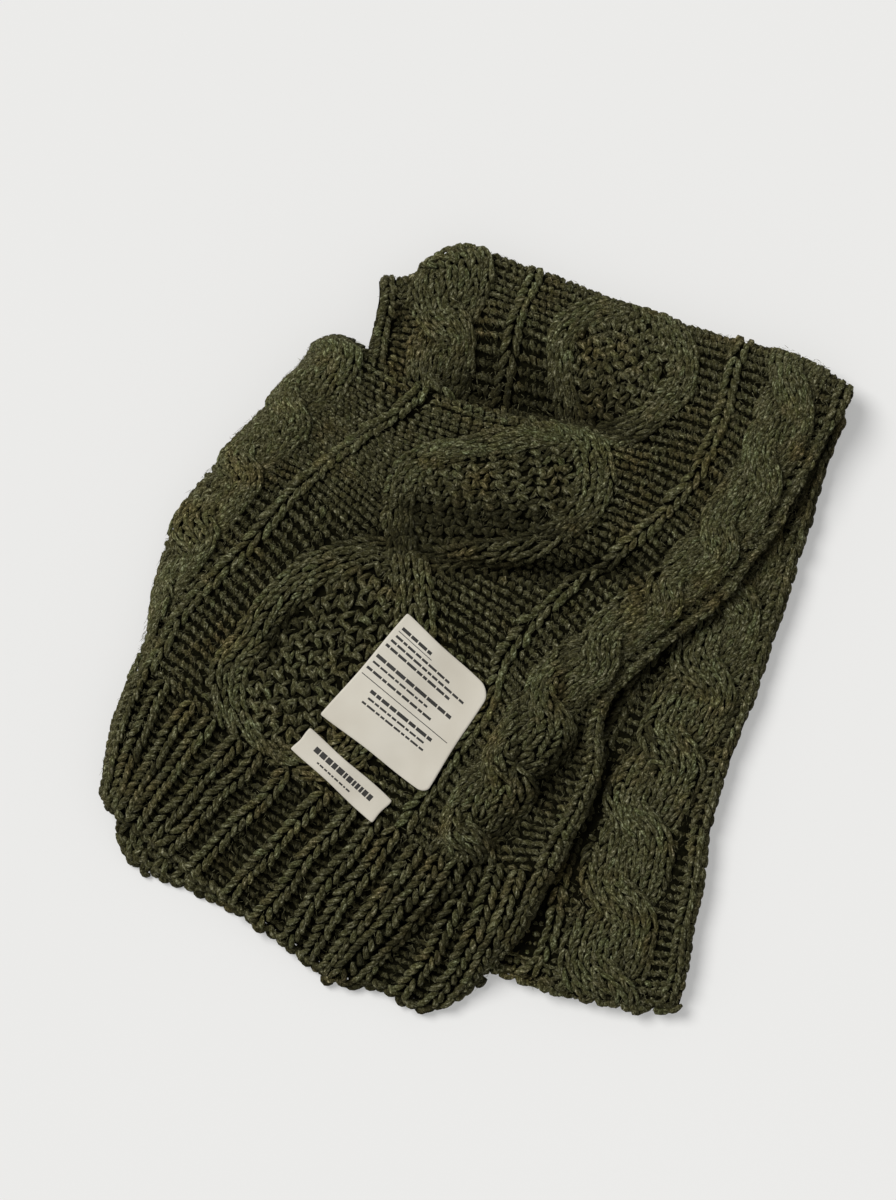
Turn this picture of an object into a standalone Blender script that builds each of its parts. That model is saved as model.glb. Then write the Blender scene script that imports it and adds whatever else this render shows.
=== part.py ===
"""A chunky cable-knit scarf, folded in four layers and laid flat on a table.

Metres in Blender, +Z up, the table at z = 0. The named sizes below are in millimetres.

The scarf is one strip of cloth, CUT_WIDTH wide. Its top layer shows twice: upper_stretch lies behind
a tuck, and front_stretch comes forward over it, turned about a third of a right angle, down to a ribbed
hem. under_stretch is the right side of the layer below, second_hem is the other ribbed end, and
folded_layers is what is hidden, one rounded solid that is layered at its edges.

A stretch is a surface over two cloth coordinates: `across`, millimetres from its left edge, and
`course`, which counts the pattern's repeats along the cloth, one from each crossing of the two
middle strands to the next. Each stretch has a short table of sections, one row for each course, with
a column for each line of the pattern, and a smooth spline runs through them.
"""

from collections import namedtuple

import bpy
import numpy as np
from mathutils import Matrix, Vector
from mathutils.bvhtree import BVHTree

MM = 0.001
GAP = 0.3  # between pieces that touch

# The cloth and its pattern, flat, in millimetres.
CUT_WIDTH = 336.0
WALL = 6.0
RIB_PITCH = 14.6
# Where the ribs' crests are across the front's hem, from the left side where it turns under.
RIB_CRESTS = (46.0, 60, 75, 88, 110, 128, 141, 156, 168, 184, 202, 216, 229, 241, 260, 278, 290,
              303, 313, 322, 331, 340)
RIB_RISE = 4.0
RIB_START = 2.0  # the course where the cables end and the ribs begin
ROPE_CENTRES = (46.0, 290.0)
RIDGE_CENTRES = (92.0, 244.0)
MOTIF_CENTRE = 168.0
MOTIF_HALF = 43.0  # from the middle line to a strand's middle, at the widest
STRAND_RADIUS = 10.5
ROPE_STRAND = 12.0  # half the width of one of a rope's strands
ROPE_HALF = 11.5  # from a rope's middle to each of its two strands
ROPE_TURN = 52.0  # along a rope, from one crossing to the next
ROPE_TURN_STARTS = (0.69, -0.03)  # a course where each rope's strands lie side by side
ROPE_RISE = 5.5
ROPE_LIFT = 1.3  # how much the strand on top stands above the other
MOTIF_RISE = 4.5
MOSS_RISE = 1.2
RIDGE_RISE = 3.5
RIDGE_RADIUS = 6.5
EDGE_COLUMN = 6.0  # from the cloth's edge to the middle of its edge column
EDGE_RISE = 2.0
EDGE_BULGE = 2.4  # how far a cut or knitted edge rounds out past its line

# How the nodes' grids are cut: triangles are kept where the relief is.
COLUMNS_A_RIB = 3
INNER_STEP = 2  # rows of the plain inside are this many times coarser
INNER_COLUMN_STEP = 3

FrontRow = namedtuple(
    "FrontRow", "course edge_l side_l rope_l ridge_l centre ridge_r rope_r flap edge_r"
)
UnderRow = namedtuple("UnderRow", "course outer strip rope slit ridge inner")
HemRow = namedtuple("HemRow", "across root middle hem")
Fold = namedtuple("Fold", "name depth width path")

# Where each line of the pattern is across the cloth.
LINES = np.array([0, 24, 46, 92, MOTIF_CENTRE, 244, 290, 314, CUT_WIDTH])
UNDER_LINES = np.array([0, 12, 38, 68, 78, 105.0])
UNDER_WIDTH = UNDER_LINES[-1]
UNDER_ROPE_NARROW = 0.92  # its rope is stretched this much wider than the others
COURSE_LENGTH = 140.0  # millimetres of cloth in one course of the pattern, about

FRONT = (
    FrontRow(-0.05, (-101, 180, 6), (-107, 183, 16), (-92, 187, 28), (-36, 156, 30), (66, 126, 33),
             (140, 106, 35), (169, 84, 35), (185, 75, 33), (197, 80, 30)),
    FrontRow(0.0, (-102, 177, 6), (-108, 181, 20), (-94, 185, 37), (-38, 154, 41), (64, 124, 36),
             (136, 99, 35), (165, 77, 35), (182, 69, 33), (195, 73, 30)),
    FrontRow(0.08, (-106, 171, 6), (-112, 174, 22), (-99, 178, 41), (-44, 148, 45), (56, 119, 38),
             (129, 91, 35), (159, 69, 35), (176, 60, 33), (188, 64, 30)),
    FrontRow(0.5, (-126, 144, 5), (-132, 149, 20), (-117, 151, 40), (-71, 128, 44), (7, 88, 44),
             (91, 53, 36), (123, 26, 36), (137, 17, 33), (149, 14, 30)),
    FrontRow(1.0, (-156, 110, 4), (-161, 116, 18), (-143, 115, 36), (-107, 100, 41), (-48, 50, 40),
             (26, 0, 38), (57, -29, 38), (74, -41, 34), (86, -43, 30)),
    FrontRow(1.5, (-193, 56, 3), (-199, 59, 15), (-178, 61, 31), (-155, 49, 36), (-96, -10, 39),
             (-1, -57, 38), (20, -76, 38), (53, -88, 31), (76, -92, 30)),
    FrontRow(1.75, (-199, 14, 2), (-208, 16, 8), (-202, 15, 20), (-188, 14, 31), (-118, -43, 37),
             (-27, -93, 36), (-2, -108, 36), (31, -118, 30), (63, -124, 30)),
    FrontRow(2.0, (-204, -25, 2), (-211, -27, 5), (-219, -34, 12), (-211, -25, 25), (-142, -77, 34),
             (-50, -128, 34), (-16, -146, 33), (13, -151, 30), (49, -152, 30)),
    FrontRow(2.5, (-211, -69, 2), (-217, -70, 4), (-229, -71, 9), (-228, -66, 21), (-172, -108, 27),
             (-82, -170, 28), (-46, -187, 26), (-6, -200, 25), (25, -196, 27)),
    FrontRow(3.0, (-217, -107, 8), (-224, -110, 8), (-233, -111, 9), (-238, -105, 16), (-201, -138, 17),
             (-108, -208, 9), (-79, -226, 7.5), (-32, -239, 7), (3, -221, 7.5)),
)

# The last row lies under the front stretch, where the two are still one cloth on the right.
UPPER = (
    FrontRow(-1.02, (-60, 223, 16), (-43, 224, 16), (-17, 239, 16), (34, 227, 16), (101, 201, 16),
             (169, 181, 16), (205, 170, 16), (222, 162, 16), (235, 153, 16)),
    FrontRow(-0.92, (-62, 227, 21), (-44, 228, 22), (-17, 243, 23), (36, 231, 23), (103, 205, 23),
             (170, 185, 23), (206, 174, 23), (224, 165, 22), (238, 156, 22)),
    FrontRow(-0.84, (-62, 221, 25), (-44, 222, 27), (-18, 236, 28), (34, 224, 29), (100, 199, 29),
             (167, 180, 30), (203, 167, 30), (221, 158, 29), (236, 151, 28)),
    FrontRow(-0.4, (-65, 197, 27), (-43, 197, 30), (-20, 200, 32), (22, 194, 33), (87, 165, 34),
             (155, 141, 35), (189, 123, 35), (205, 114, 33), (217, 116, 30)),
    FrontRow(0.0, (-69, 168, 27), (-48, 159, 29), (-28, 155, 30), (13, 143, 31), (64, 124, 34),
             (136, 99, 35), (165, 77, 35), (182, 69, 33), (195, 73, 30)),
    FrontRow(0.5, (-75, 128, 25), (-56, 120, 26), (-38, 114, 26), (-6, 104, 27), (7, 88, 30),
             (91, 53, 36), (123, 26, 36), (137, 17, 33), (149, 14, 30)),
)

# Courses here only count the sections, from the far end to the fold at the near end.
UNDER = (
    UnderRow(0, (235, 141, 16), (228, 143, 15.5), (209, 149, 15.5), (185, 156, 15), (174, 159, 15),
             (149, 167, 13)),
    UnderRow(1, (217, 85, 17), (208, 87, 15.5), (187, 94, 16), (164, 101, 15), (153, 104, 15),
             (128, 112, 13)),
    UnderRow(2, (199, 21, 17), (188, 24, 15.5), (168, 30, 16), (140, 39, 15), (131, 41, 15),
             (106, 49, 13)),
    UnderRow(3, (178, -43, 17), (167, -40, 15.5), (142, -32, 16), (114, -24, 15), (106, -21, 15),
             (80, -14, 13)),
    UnderRow(4, (154, -107, 17), (142, -103, 15.5), (114, -95, 16), (85, -86, 15), (75, -83, 15),
             (52, -76, 13)),
    UnderRow(5, (142, -171, 17), (127, -167, 15.5), (100, -158, 16), (72, -150, 15), (57, -146, 15),
             (37, -140, 12.5)),
    UnderRow(6, (131, -222, 17), (117, -220, 16), (87, -215, 16.5), (55, -208, 15), (43, -204, 14.5),
             (26, -199, 12.5)),
    UnderRow(7, (127, -241, 12), (112, -241, 12), (80, -236, 12), (46, -229, 11.5), (34, -224, 11),
             (16, -219, 10)),
    UnderRow(8, (128, -237, 7.5), (113, -237, 7.5), (82, -232, 7.5), (48, -225, 7.5), (36, -220, 7.5),
             (18, -215, 7.5)),
)

# The other end of the scarf: a ribbed hem, from the line under the front stretch out to its edge.
HEM = (
    HemRow(0, (-226, -115, 5), (-231, -125, 6), (-231, -135, 5)),
    HemRow(14, (-216, -119, 5), (-222, -132, 6), (-225, -147, 5)),
    HemRow(44, (-185, -137, 5), (-193, -148, 5.5), (-201, -159, 4.5)),
    HemRow(74, (-156, -158, 4), (-163, -164, 4), (-171, -171, 3.8)),
    HemRow(102, (-134, -176, 3.8), (-142, -183, 3.8), (-150, -189, 3.6)),
)
HEM_RIB_RISE = 2.6

# The largest folds: soft troughs, along paths of (across, course).
FRONT_FOLDS = (
    Fold("below the front bulge", 8.0, 11.0,
         ((121, 1.3), (143, 1.14), (164, 1.0), (188, 0.905), (208, 0.815), (232, 0.715), (248, 0.585),
          (263, 0.4))),
    Fold("the bulge's near side", 4.0, 24.0,
         ((140, 1.0), (152, 0.87), (168, 0.73), (187, 0.63), (206, 0.555), (225, 0.465))),
    Fold("beside the right rope", 6.0, 9.0,
         ((318, 1.05), (315, 1.4), (312, 1.7), (301, 2.05), (293, 2.4), (291, 3.0))),
)

# Where the upper stretch's lines meet the front stretch's far edge, across the front stretch.
TUCK_MEETS = np.array([66, 82, 98, 128, MOTIF_CENTRE, 244, 290, 314, CUT_WIDTH])
TUCK_GAP = 1.6  # more room in the crease under the tuck, where the cloth turns steeply
FRONT_FROM = -0.05
FRONT_TO = 3.0
UPPER_FROM = -1.02
LEFT_TURNS_UNDER = (1.3, 2.0)  # courses between which the front's left side turns further under
LEFT_HIDDEN = RIB_CRESTS[0]

# The hidden layers' outline on the table, counter-clockwise from the far right corner.
STACK_EDGE = (
    (232, 148), (200, 168), (168, 179), (101, 199), (34, 223), (-17, 235), (-44, 220), (-58, 217),
    (-63, 192), (-67, 166), (-84, 160), (-111, 130), (-140, 97), (-170, 62), (-183, 20), (-190, -22),
    (-206, -64), (-207, -94), (-196, -112), (-172, -132), (-148, -149), (-126, -167), (-98, -186),
    (-66, -198), (-30, -204), (0, -204), (22, -211), (48, -220), (82, -228), (112, -234), (123, -230),
    (127, -219), (138, -171), (150, -107), (174, -43), (195, 21), (213, 85),
)
STACK_POINTS = 60
STACK_RINGS = 11
STACK_CENTRE = (0.0, 0.0)
STACK_REACH = 26.0  # the hidden top clears the lowest cloth this far around
STACK_CLEAR = 1.2
STACK_LEAST = 2.0
LAYER_GROOVE = 2.6

LABEL_THICKNESS = 0.8
LABEL_CELLS = 12
LABEL_EASINGS = 12
SMALL_LABEL_CELLS = (10, 4)
LABEL_CORNERS = ((-46, 12), (7, -37), (-35, -103), (-101, -52))
SMALL_LABEL_CORNERS = ((-108, -61), (-56, -107), (-69, -121), (-120, -74))

# The middle of the folded scarf, which becomes the origin.
MIDDLE = (-1.41, 2.66)

OLIVE = (0.031, 0.031, 0.015, 1.0)
OFF_WHITE = (0.62, 0.58, 0.50, 1.0)


def ease(low, high, value):
    """0 below low, 1 above high, and a smooth step between."""
    t = np.clip((value - low) / (high - low), 0, 1)
    return t * t * (3 - 2 * t)


def weights(knots, at):
    """Cubic spline weights of each knot at each place, with three-point tangents."""
    knots = np.asarray(knots, float)
    at = np.clip(at, knots[0], knots[-1])
    steps = np.diff(knots)
    unit = np.eye(len(knots))
    slopes = (unit[1:] - unit[:-1]) / steps[:, None]
    tangents = np.empty_like(unit)
    tangents[0] = slopes[0]
    tangents[-1] = slopes[-1]
    for k in range(1, len(knots) - 1):
        tangents[k] = (steps[k] * slopes[k - 1] + steps[k - 1] * slopes[k]) / (steps[k - 1] + steps[k])
    span = np.clip(np.searchsorted(knots, at, side="right") - 1, 0, len(knots) - 2)
    step = steps[span]
    t = (at - knots[span]) / step
    first = (2 * t**3 - 3 * t**2 + 1)[..., None] * unit[span]
    last = (3 * t**2 - 2 * t**3)[..., None] * unit[span + 1]
    leaving = ((t**3 - 2 * t**2 + t) * step)[..., None] * tangents[span]
    arriving = ((t**3 - t**2) * step)[..., None] * tangents[span + 1]
    return first + last + leaving + arriving


def through(rows, lines, across, course):
    """The point of a table's smooth surface at each pair of cloth coordinates."""
    across, course = np.broadcast_arrays(np.asarray(across, float), np.asarray(course, float))
    places = np.array([row[1:] for row in rows], float)
    by_course = weights([row[0] for row in rows], course)
    by_line = weights(lines, across)
    return np.einsum("...i,...j,ijk->...k", by_course, by_line, places)


def fold_depth(folds, across, course):
    """How far the folds sink the cloth: a soft trough round each path, fading out at its ends."""
    across, course = np.broadcast_arrays(np.asarray(across, float), np.asarray(course, float))
    depth = np.zeros(across.shape)
    for fold in folds:
        path = np.array(fold.path, float) * (1, COURSE_LENGTH)
        spans = np.linalg.norm(np.diff(path, axis=0), axis=1)
        starts = np.concatenate([[0], np.cumsum(spans)])
        nearest = np.full(depth.shape, np.inf)
        along = np.zeros(depth.shape)
        for k, span in enumerate(spans):
            direction = (path[k + 1] - path[k]) / span
            from_start = np.stack([across - path[k][0], course * COURSE_LENGTH - path[k][1]], -1)
            t = np.clip(from_start @ direction, 0, span)
            away = np.linalg.norm(from_start - t[..., None] * direction, axis=-1)
            closer = away < nearest
            nearest = np.where(closer, away, nearest)
            along = np.where(closer, starts[k] + t, along)
        fade = ease(-0.1, 0.3, along / starts[-1]) * ease(-0.1, 0.3, 1 - along / starts[-1])
        depth += fold.depth * fade * np.exp(-((nearest / fold.width) ** 2))
    return depth


def on_tuck(across):
    """1 where the front stretch's far edge rises steeply as a tuck, 0 where it runs on flat."""
    return ease(MOTIF_CENTRE + 60, MOTIF_CENTRE, across)


def front_place(across, course):
    place = through(FRONT, LINES, across, course)
    place[..., 2] -= fold_depth(FRONT_FOLDS, across, course)
    return place


def upper_place(across, course):
    """The upper stretch, drawn to the front stretch's far edge, which it meets with a small gap."""
    place = through(UPPER, LINES, across, course)
    meets = np.interp(across, LINES, TUCK_MEETS)
    edge = front_place(meets, FRONT_FROM)
    beside = front_place(meets + 1.0, FRONT_FROM) - front_place(meets - 1.0, FRONT_FROM)
    outward = np.stack([-beside[..., 1], beside[..., 0]], -1)
    outward /= np.linalg.norm(outward, axis=-1, keepdims=True)
    wanted = edge.copy()
    wanted[..., :2] += outward * (2 * GAP + TUCK_GAP * on_tuck(meets)[..., None])
    pull = ease(-0.45, FRONT_FROM, np.asarray(course, float))[..., None]
    missing = wanted - through(UPPER, LINES, across, np.full(np.shape(across), FRONT_FROM))
    return place + pull * missing


def under_place(across, course):
    return through(UNDER, UNDER_LINES, across, course)


def hem_place(across, course):
    """The second hem: its course runs from 0 at the root to 2 at its edge."""
    across, course = np.broadcast_arrays(np.asarray(across, float), np.asarray(course, float))
    places = np.array([row[1:] for row in HEM], float)
    by_line = weights([row.across for row in HEM], across)
    return np.einsum("...j,...i,jik->...k", by_line, weights([0, 1, 2], course), places)


def normals(place, across, course, lows, highs):
    """Unit normals of a surface, pointing out of the cloth's face."""
    step = 1.5
    right, left = np.minimum(across + step, highs[0]), np.maximum(across - step, lows[0])
    side = place(right, course) - place(left, course)
    step = 0.012
    near, far = np.minimum(course + step, highs[1]), np.maximum(course - step, lows[1])
    down = place(across, near) - place(across, far)
    normal = np.cross(down, side)
    return normal / np.linalg.norm(normal, axis=-1, keepdims=True)


def crown(distance, radius):
    return np.sqrt(np.clip(1 - (distance / radius) ** 2, 0, 1))


def arc_along(place, across, course, start):
    """Millimetres along one line of the cloth, from the start course to each of the others."""
    courses = np.linspace(UPPER_FROM, UNDER[-1].course, 403)
    points = place(np.full(courses.shape, across), courses)
    lengths = np.concatenate([[0], np.cumsum(np.linalg.norm(np.diff(points, axis=0), axis=1))])
    return np.interp(course, courses, lengths) - np.interp(start, courses, lengths)


def rope_rise(from_centre, turn):
    """Two strands that twist round each other: turn is the number of crossings so far."""
    phase = np.pi * turn
    side = ROPE_HALF * np.tanh(2.2 * np.cos(phase)) / np.tanh(2.2)
    over = ROPE_LIFT * np.sin(phase)
    one = (ROPE_RISE + over) * crown(from_centre + side, ROPE_STRAND)
    other = (ROPE_RISE - over) * crown(from_centre - side, ROPE_STRAND)
    return np.maximum(one, other)


def motif_side(course):
    """How far the two middle strands lie from the middle line; they cross at each whole course."""
    wave = np.sin(np.pi * course)
    return MOTIF_HALF * np.sign(wave) * np.abs(wave) ** 0.75


def pattern_rise(across, course, place):
    """How far the knitted pattern stands above the ground of the cloth."""
    rise = np.zeros(across.shape)
    for centre, start in zip(ROPE_CENTRES, ROPE_TURN_STARTS):
        turn = arc_along(place, centre, course, start) / ROPE_TURN
        rise = np.maximum(rise, rope_rise(across - centre, turn))
    for centre in RIDGE_CENTRES:
        rise = np.maximum(rise, RIDGE_RISE * crown(across - centre, RIDGE_RADIUS))
    from_middle = across - MOTIF_CENTRE
    side = motif_side(course)
    inside = ease(0, 6, np.abs(side) - np.abs(from_middle))
    rise = np.maximum(rise, MOSS_RISE * inside)
    for strand in (side, -side):
        rise = np.maximum(rise, MOTIF_RISE * crown(from_middle - strand, STRAND_RADIUS))
    for column in (EDGE_COLUMN, CUT_WIDTH - EDGE_COLUMN):
        rise = np.maximum(rise, EDGE_RISE * crown(across - column, EDGE_COLUMN))
    rib = np.interp(across, RIB_CRESTS, np.arange(len(RIB_CRESTS)))
    ribs = RIB_RISE * (0.5 + 0.5 * np.cos(2 * np.pi * rib))
    in_ribs = ease(RIB_START - 0.04, RIB_START + 0.06, course)
    return rise * (1 - in_ribs) + ribs * in_ribs


def under_rise(across, course):
    turn = arc_along(under_place, UNDER_LINES[2], course, 0.0) / ROPE_TURN
    rise = rope_rise(UNDER_ROPE_NARROW * (across - UNDER_LINES[2]), turn)
    rise = np.maximum(rise, RIDGE_RISE * crown(across - UNDER_LINES[4], RIDGE_RADIUS))
    edge = EDGE_RISE * crown(across - EDGE_COLUMN, EDGE_COLUMN)
    return np.maximum(rise, edge) * ease(8.0, 7.0, course) * ease(-0.2, 0.4, course)


def border(rows, columns):
    """Grid indices round the edge of a grid, counter-clockwise seen from the cloth's face."""
    left = [(i, 0) for i in range(rows)]
    near = [(rows, j) for j in range(columns)]
    right = [(i, columns) for i in range(rows, 0, -1)]
    far = [(0, j) for j in range(columns, 0, -1)]
    return left + near + right + far


def grid_faces(index, facing_up):
    """The quads of a grid of point numbers."""
    a, b, c, d = index[:-1, :-1], index[1:, :-1], index[1:, 1:], index[:-1, 1:]
    order = (a, b, c, d) if facing_up else (d, c, b, a)
    return np.stack([part.ravel() for part in order], -1).tolist()


def add_object(name, points, faces, colour):
    """One closed mesh object, from points in millimetres."""
    mesh = bpy.data.meshes.new(name)
    mesh.from_pydata([tuple(p) for p in np.asarray(points, float) * MM], [], faces)
    mesh.validate()
    mesh.shade_smooth()
    thing = bpy.data.objects.new(name, mesh)
    bpy.context.scene.collection.objects.link(thing)
    material = bpy.data.materials.new(name)
    material.use_nodes = True
    shader = material.node_tree.nodes["Principled BSDF"]
    shader.inputs["Base Color"].default_value = colour
    shader.inputs["Roughness"].default_value = 0.9
    shader.inputs["Metallic"].default_value = 0.0
    mesh.materials.append(material)
    return thing


def wall(name, outer, inner, rim, colour):
    """A cloth wall: a fine outer grid, a coarse plain inside, and a rounded rim between them."""
    rows, columns = outer.shape[0] - 1, outer.shape[1] - 1
    row_step = rows // (inner.shape[0] - 1)
    column_step = columns // (inner.shape[1] - 1)
    outer_index = np.arange(outer.shape[0] * outer.shape[1]).reshape(outer.shape[:2])
    ring_start = outer_index.size
    loop = border(rows, columns)
    inner_start = ring_start + len(loop)
    inner_index = inner_start + np.arange(inner.shape[0] * inner.shape[1]).reshape(inner.shape[:2])
    points = np.concatenate([outer.reshape(-1, 3), rim, inner.reshape(-1, 3)])
    faces = grid_faces(outer_index, True) + grid_faces(inner_index, False)
    below = [inner_index[int(np.rint(i / row_step)), int(np.rint(j / column_step))] for i, j in loop]
    for k, here in enumerate(loop):
        after = loop[(k + 1) % len(loop)]
        ring = ring_start + k
        next_ring = ring_start + (k + 1) % len(loop)
        faces.append([outer_index[after], outer_index[here], ring, next_ring])
        low, next_low = below[k], below[(k + 1) % len(loop)]
        if low == next_low:
            faces.append([next_ring, ring, low])
        else:
            faces.append([next_ring, ring, low, next_low])
    return add_object(name, points, [[int(v) for v in face] for face in faces], colour)


def rim_points(base, normal, thickness, bulge):
    """The rim's points: half way down the edge, rounded out past it by each side's bulge."""
    rows, columns = base.shape[0] - 1, base.shape[1] - 1
    points = []
    for i, j in border(rows, columns):
        outward = np.zeros(3)
        if i == 0:
            outward += unit(base[0, j] - base[1, j]) * bulge["far"]
        if i == rows:
            outward += unit(base[rows, j] - base[rows - 1, j]) * bulge["near"]
        if j == 0:
            outward += unit(base[i, 0] - base[i, 1]) * bulge["left"]
        if j == columns:
            outward += unit(base[i, columns] - base[i, columns - 1]) * bulge["right"]
        corner = i in (0, rows) and j in (0, columns)
        outward *= 0.7 if corner else 1.0
        points.append(base[i, j] + outward - normal[i, j] * thickness[i, j] / 2)
    return np.array(points)


def unit(vector):
    return vector / np.linalg.norm(vector)


def above_table(points, least):
    points = np.array(points)
    points[..., 2] = np.maximum(points[..., 2], least)
    return points


def stretch(name, place, across, course, rise, thickness, bulge, least=0.3):
    """A stretch of cloth as a wall, from its surface and the relief of its pattern."""
    lows = (across.min(), course.min())
    highs = (across.max(), course.max())
    base = place(across, course)
    normal = normals(place, across, course, lows, highs)
    outer = above_table(base + normal * rise[..., None], 1.6)
    inside = base - normal * thickness[..., None]
    inner = above_table(inside[::INNER_STEP, ::INNER_COLUMN_STEP], least)
    rim = above_table(rim_points(base, normal, thickness, bulge), 0.9)
    return wall(name, outer, inner, rim, OLIVE)


def front_stretch():
    turn = np.linspace(FRONT_FROM, 0.08, 5)
    cables = np.linspace(0.08, RIB_START, 31)[1:]
    ribs = np.linspace(RIB_START, FRONT_TO, 7)[1:]
    courses = np.concatenate([turn, cables, ribs])
    columns = np.arange(COLUMNS_A_RIB * (len(RIB_CRESTS) - 2)) / COLUMNS_A_RIB
    crests = np.interp(columns, np.arange(len(RIB_CRESTS)), RIB_CRESTS)
    share = (np.append(crests, CUT_WIDTH) - LEFT_HIDDEN) / (CUT_WIDTH - LEFT_HIDDEN)
    share[0] = 0.0
    hidden = LEFT_HIDDEN * ease(*LEFT_TURNS_UNDER, courses)
    across = hidden[:, None] + share[None, :] * (CUT_WIDTH - hidden[:, None])
    course = np.repeat(courses[:, None], len(share), 1)
    rise = pattern_rise(across, course, front_place)
    rise *= 1 - on_tuck(across) * ease(0.06, FRONT_FROM, course)
    thickness = np.full(across.shape, WALL)
    thickness -= 1.5 * ease(60, 20, across)
    bulge = {"far": -GAP / 2, "near": EDGE_BULGE, "left": 0.5, "right": EDGE_BULGE}
    return stretch("front_stretch", front_place, across, course, rise, thickness, bulge)


def upper_stretch():
    roll = np.linspace(UPPER_FROM, -0.84, 5)
    flat = np.linspace(-0.84, FRONT_FROM, 13)[1:]
    courses = np.concatenate([roll, flat])
    across, course = np.meshgrid(np.linspace(0, CUT_WIDTH, 61), courses)
    rise = pattern_rise(across, course, top_layer_place)
    rise *= ease(UPPER_FROM - 0.02, -0.86, course)
    rise *= 1 - on_tuck(np.interp(across, LINES, TUCK_MEETS)) * ease(-0.16, FRONT_FROM, course)
    thickness = WALL - 2.0 * ease(-0.82, -0.9, course) - ease(300, 330, across)
    bulge = {"far": 0.5, "near": 0.0, "left": EDGE_BULGE, "right": EDGE_BULGE}
    return stretch("upper_stretch", upper_place, across, course, rise, thickness, bulge)


def top_layer_place(across, course):
    """The top layer's lines as one length: the upper stretch's own, then the front stretch's."""
    own = upper_place(across, np.minimum(course, FRONT_FROM))
    further = front_place(across, np.maximum(course, FRONT_FROM))
    start = front_place(across, np.full(np.shape(across), FRONT_FROM))
    return own + further - start


def under_stretch():
    flat = np.linspace(UNDER[0].course, UNDER[6].course, 41)
    roll = np.linspace(UNDER[6].course, UNDER[-1].course, 7)[1:]
    courses = np.concatenate([flat, roll])
    from_inner = np.linspace(0, UNDER_WIDTH, 22)
    across, course = np.meshgrid(from_inner, courses)
    rise = under_rise(UNDER_WIDTH - across, course)
    thickness = 5.0 - 2.4 * ease(6.0, 6.8, course)

    def place(from_inner_edge, at):
        return under_place(UNDER_WIDTH - from_inner_edge, at)

    bulge = {"far": 0.0, "near": 0.3, "left": 0.0, "right": EDGE_BULGE}
    return stretch("under_stretch", place, across, course, rise, thickness, bulge)


def second_hem():
    width = HEM[-1].across
    ribs = round(width / RIB_PITCH)
    across, course = np.meshgrid(np.linspace(0, width, COLUMNS_A_RIB * ribs + 1), np.linspace(0, 2, 5))
    rise = HEM_RIB_RISE * (0.5 - 0.5 * np.cos(2 * np.pi * across * ribs / width))
    thickness = hem_place(across, course)[..., 2]
    bulge = {"far": 0.0, "near": EDGE_BULGE, "left": EDGE_BULGE, "right": 0.0}
    return stretch("second_hem", hem_place, across, course, rise, thickness, bulge, least=0.0)


def tree_of(thing):
    """A search tree over an object's faces, in metres."""
    return BVHTree.FromObject(thing, bpy.context.evaluated_depsgraph_get())


def discs(reach):
    """Offsets over a disc, in millimetres."""
    turns = np.arange(12) * np.pi / 6
    rings = [
        (share * reach * np.cos(turn), share * reach * np.sin(turn))
        for share in (0.33, 0.67, 1)
        for turn in turns
    ]
    return [(0.0, 0.0)] + rings


def cloth_heights(trees, x, y, reach, from_below):
    """The heights in millimetres where rays meet the cloth, over a disc round a place."""
    heights = []
    origin, way = (-0.05, 1) if from_below else (0.2, -1)
    for dx, dy in discs(reach):
        start = Vector(((x + dx) * MM, (y + dy) * MM, origin))
        for tree in trees:
            hit = tree.ray_cast(start, Vector((0, 0, way)))[0]
            if hit is not None:
                heights.append(hit.z / MM)
    return heights


def folded_layers(walls):
    """The layers that don't show: flat below, grooved between its layers at the sides."""
    trees = [tree_of(thing) for thing in walls]
    corners = np.array(STACK_EDGE + STACK_EDGE[:1], float)
    lengths = np.concatenate([[0], np.cumsum(np.linalg.norm(np.diff(corners, axis=0), axis=1))])
    at = np.linspace(0, lengths[-1], STACK_POINTS, endpoint=False)
    edge = np.stack([np.interp(at, lengths, corners[:, k]) for k in (0, 1)], -1)
    inward = np.array(STACK_CENTRE) - edge
    inward /= np.linalg.norm(inward, axis=1, keepdims=True)

    def top_height(place):
        heights = cloth_heights(trees, place[0], place[1], STACK_REACH, True)
        return max(STACK_LEAST, min(heights, default=STACK_LEAST) - STACK_CLEAR)

    heights = np.array([top_height(place) for place in edge])
    two_layers = ease(8.0, 11.0, heights)
    profile = ((0.0, 1.2, 0), (0.14, 0, 0), (0.38, 0, 0), (0.5, 0, 1), (0.62, 0, 0), (0.86, 0, 0), (1.0, 1.2, 0))
    points = []
    for share, inset, groove in profile:
        depth = inset + groove * LAYER_GROOVE * two_layers
        level = edge + inward * depth[:, None]
        points.append(np.column_stack([level, share * heights]))
    side_count = len(profile)
    for ring in range(1, STACK_RINGS):
        level = edge + (np.array(STACK_CENTRE) - edge) * ring / STACK_RINGS
        points.append(np.column_stack([level, [top_height(place) for place in level]]))
    centre = (*STACK_CENTRE, top_height(STACK_CENTRE))
    points = np.vstack([*points, [centre]])
    faces = [list(range(STACK_POINTS))[::-1]]
    last = side_count + STACK_RINGS - 2
    for level in range(last):
        for k in range(STACK_POINTS):
            after = (k + 1) % STACK_POINTS
            low, high = level * STACK_POINTS, (level + 1) * STACK_POINTS
            faces.append([low + k, low + after, high + after, high + k])
    tip = len(points) - 1
    for k in range(STACK_POINTS):
        faces.append([last * STACK_POINTS + k, last * STACK_POINTS + (k + 1) % STACK_POINTS, tip])
    return add_object("folded_layers", points, faces, OLIVE)


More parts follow.
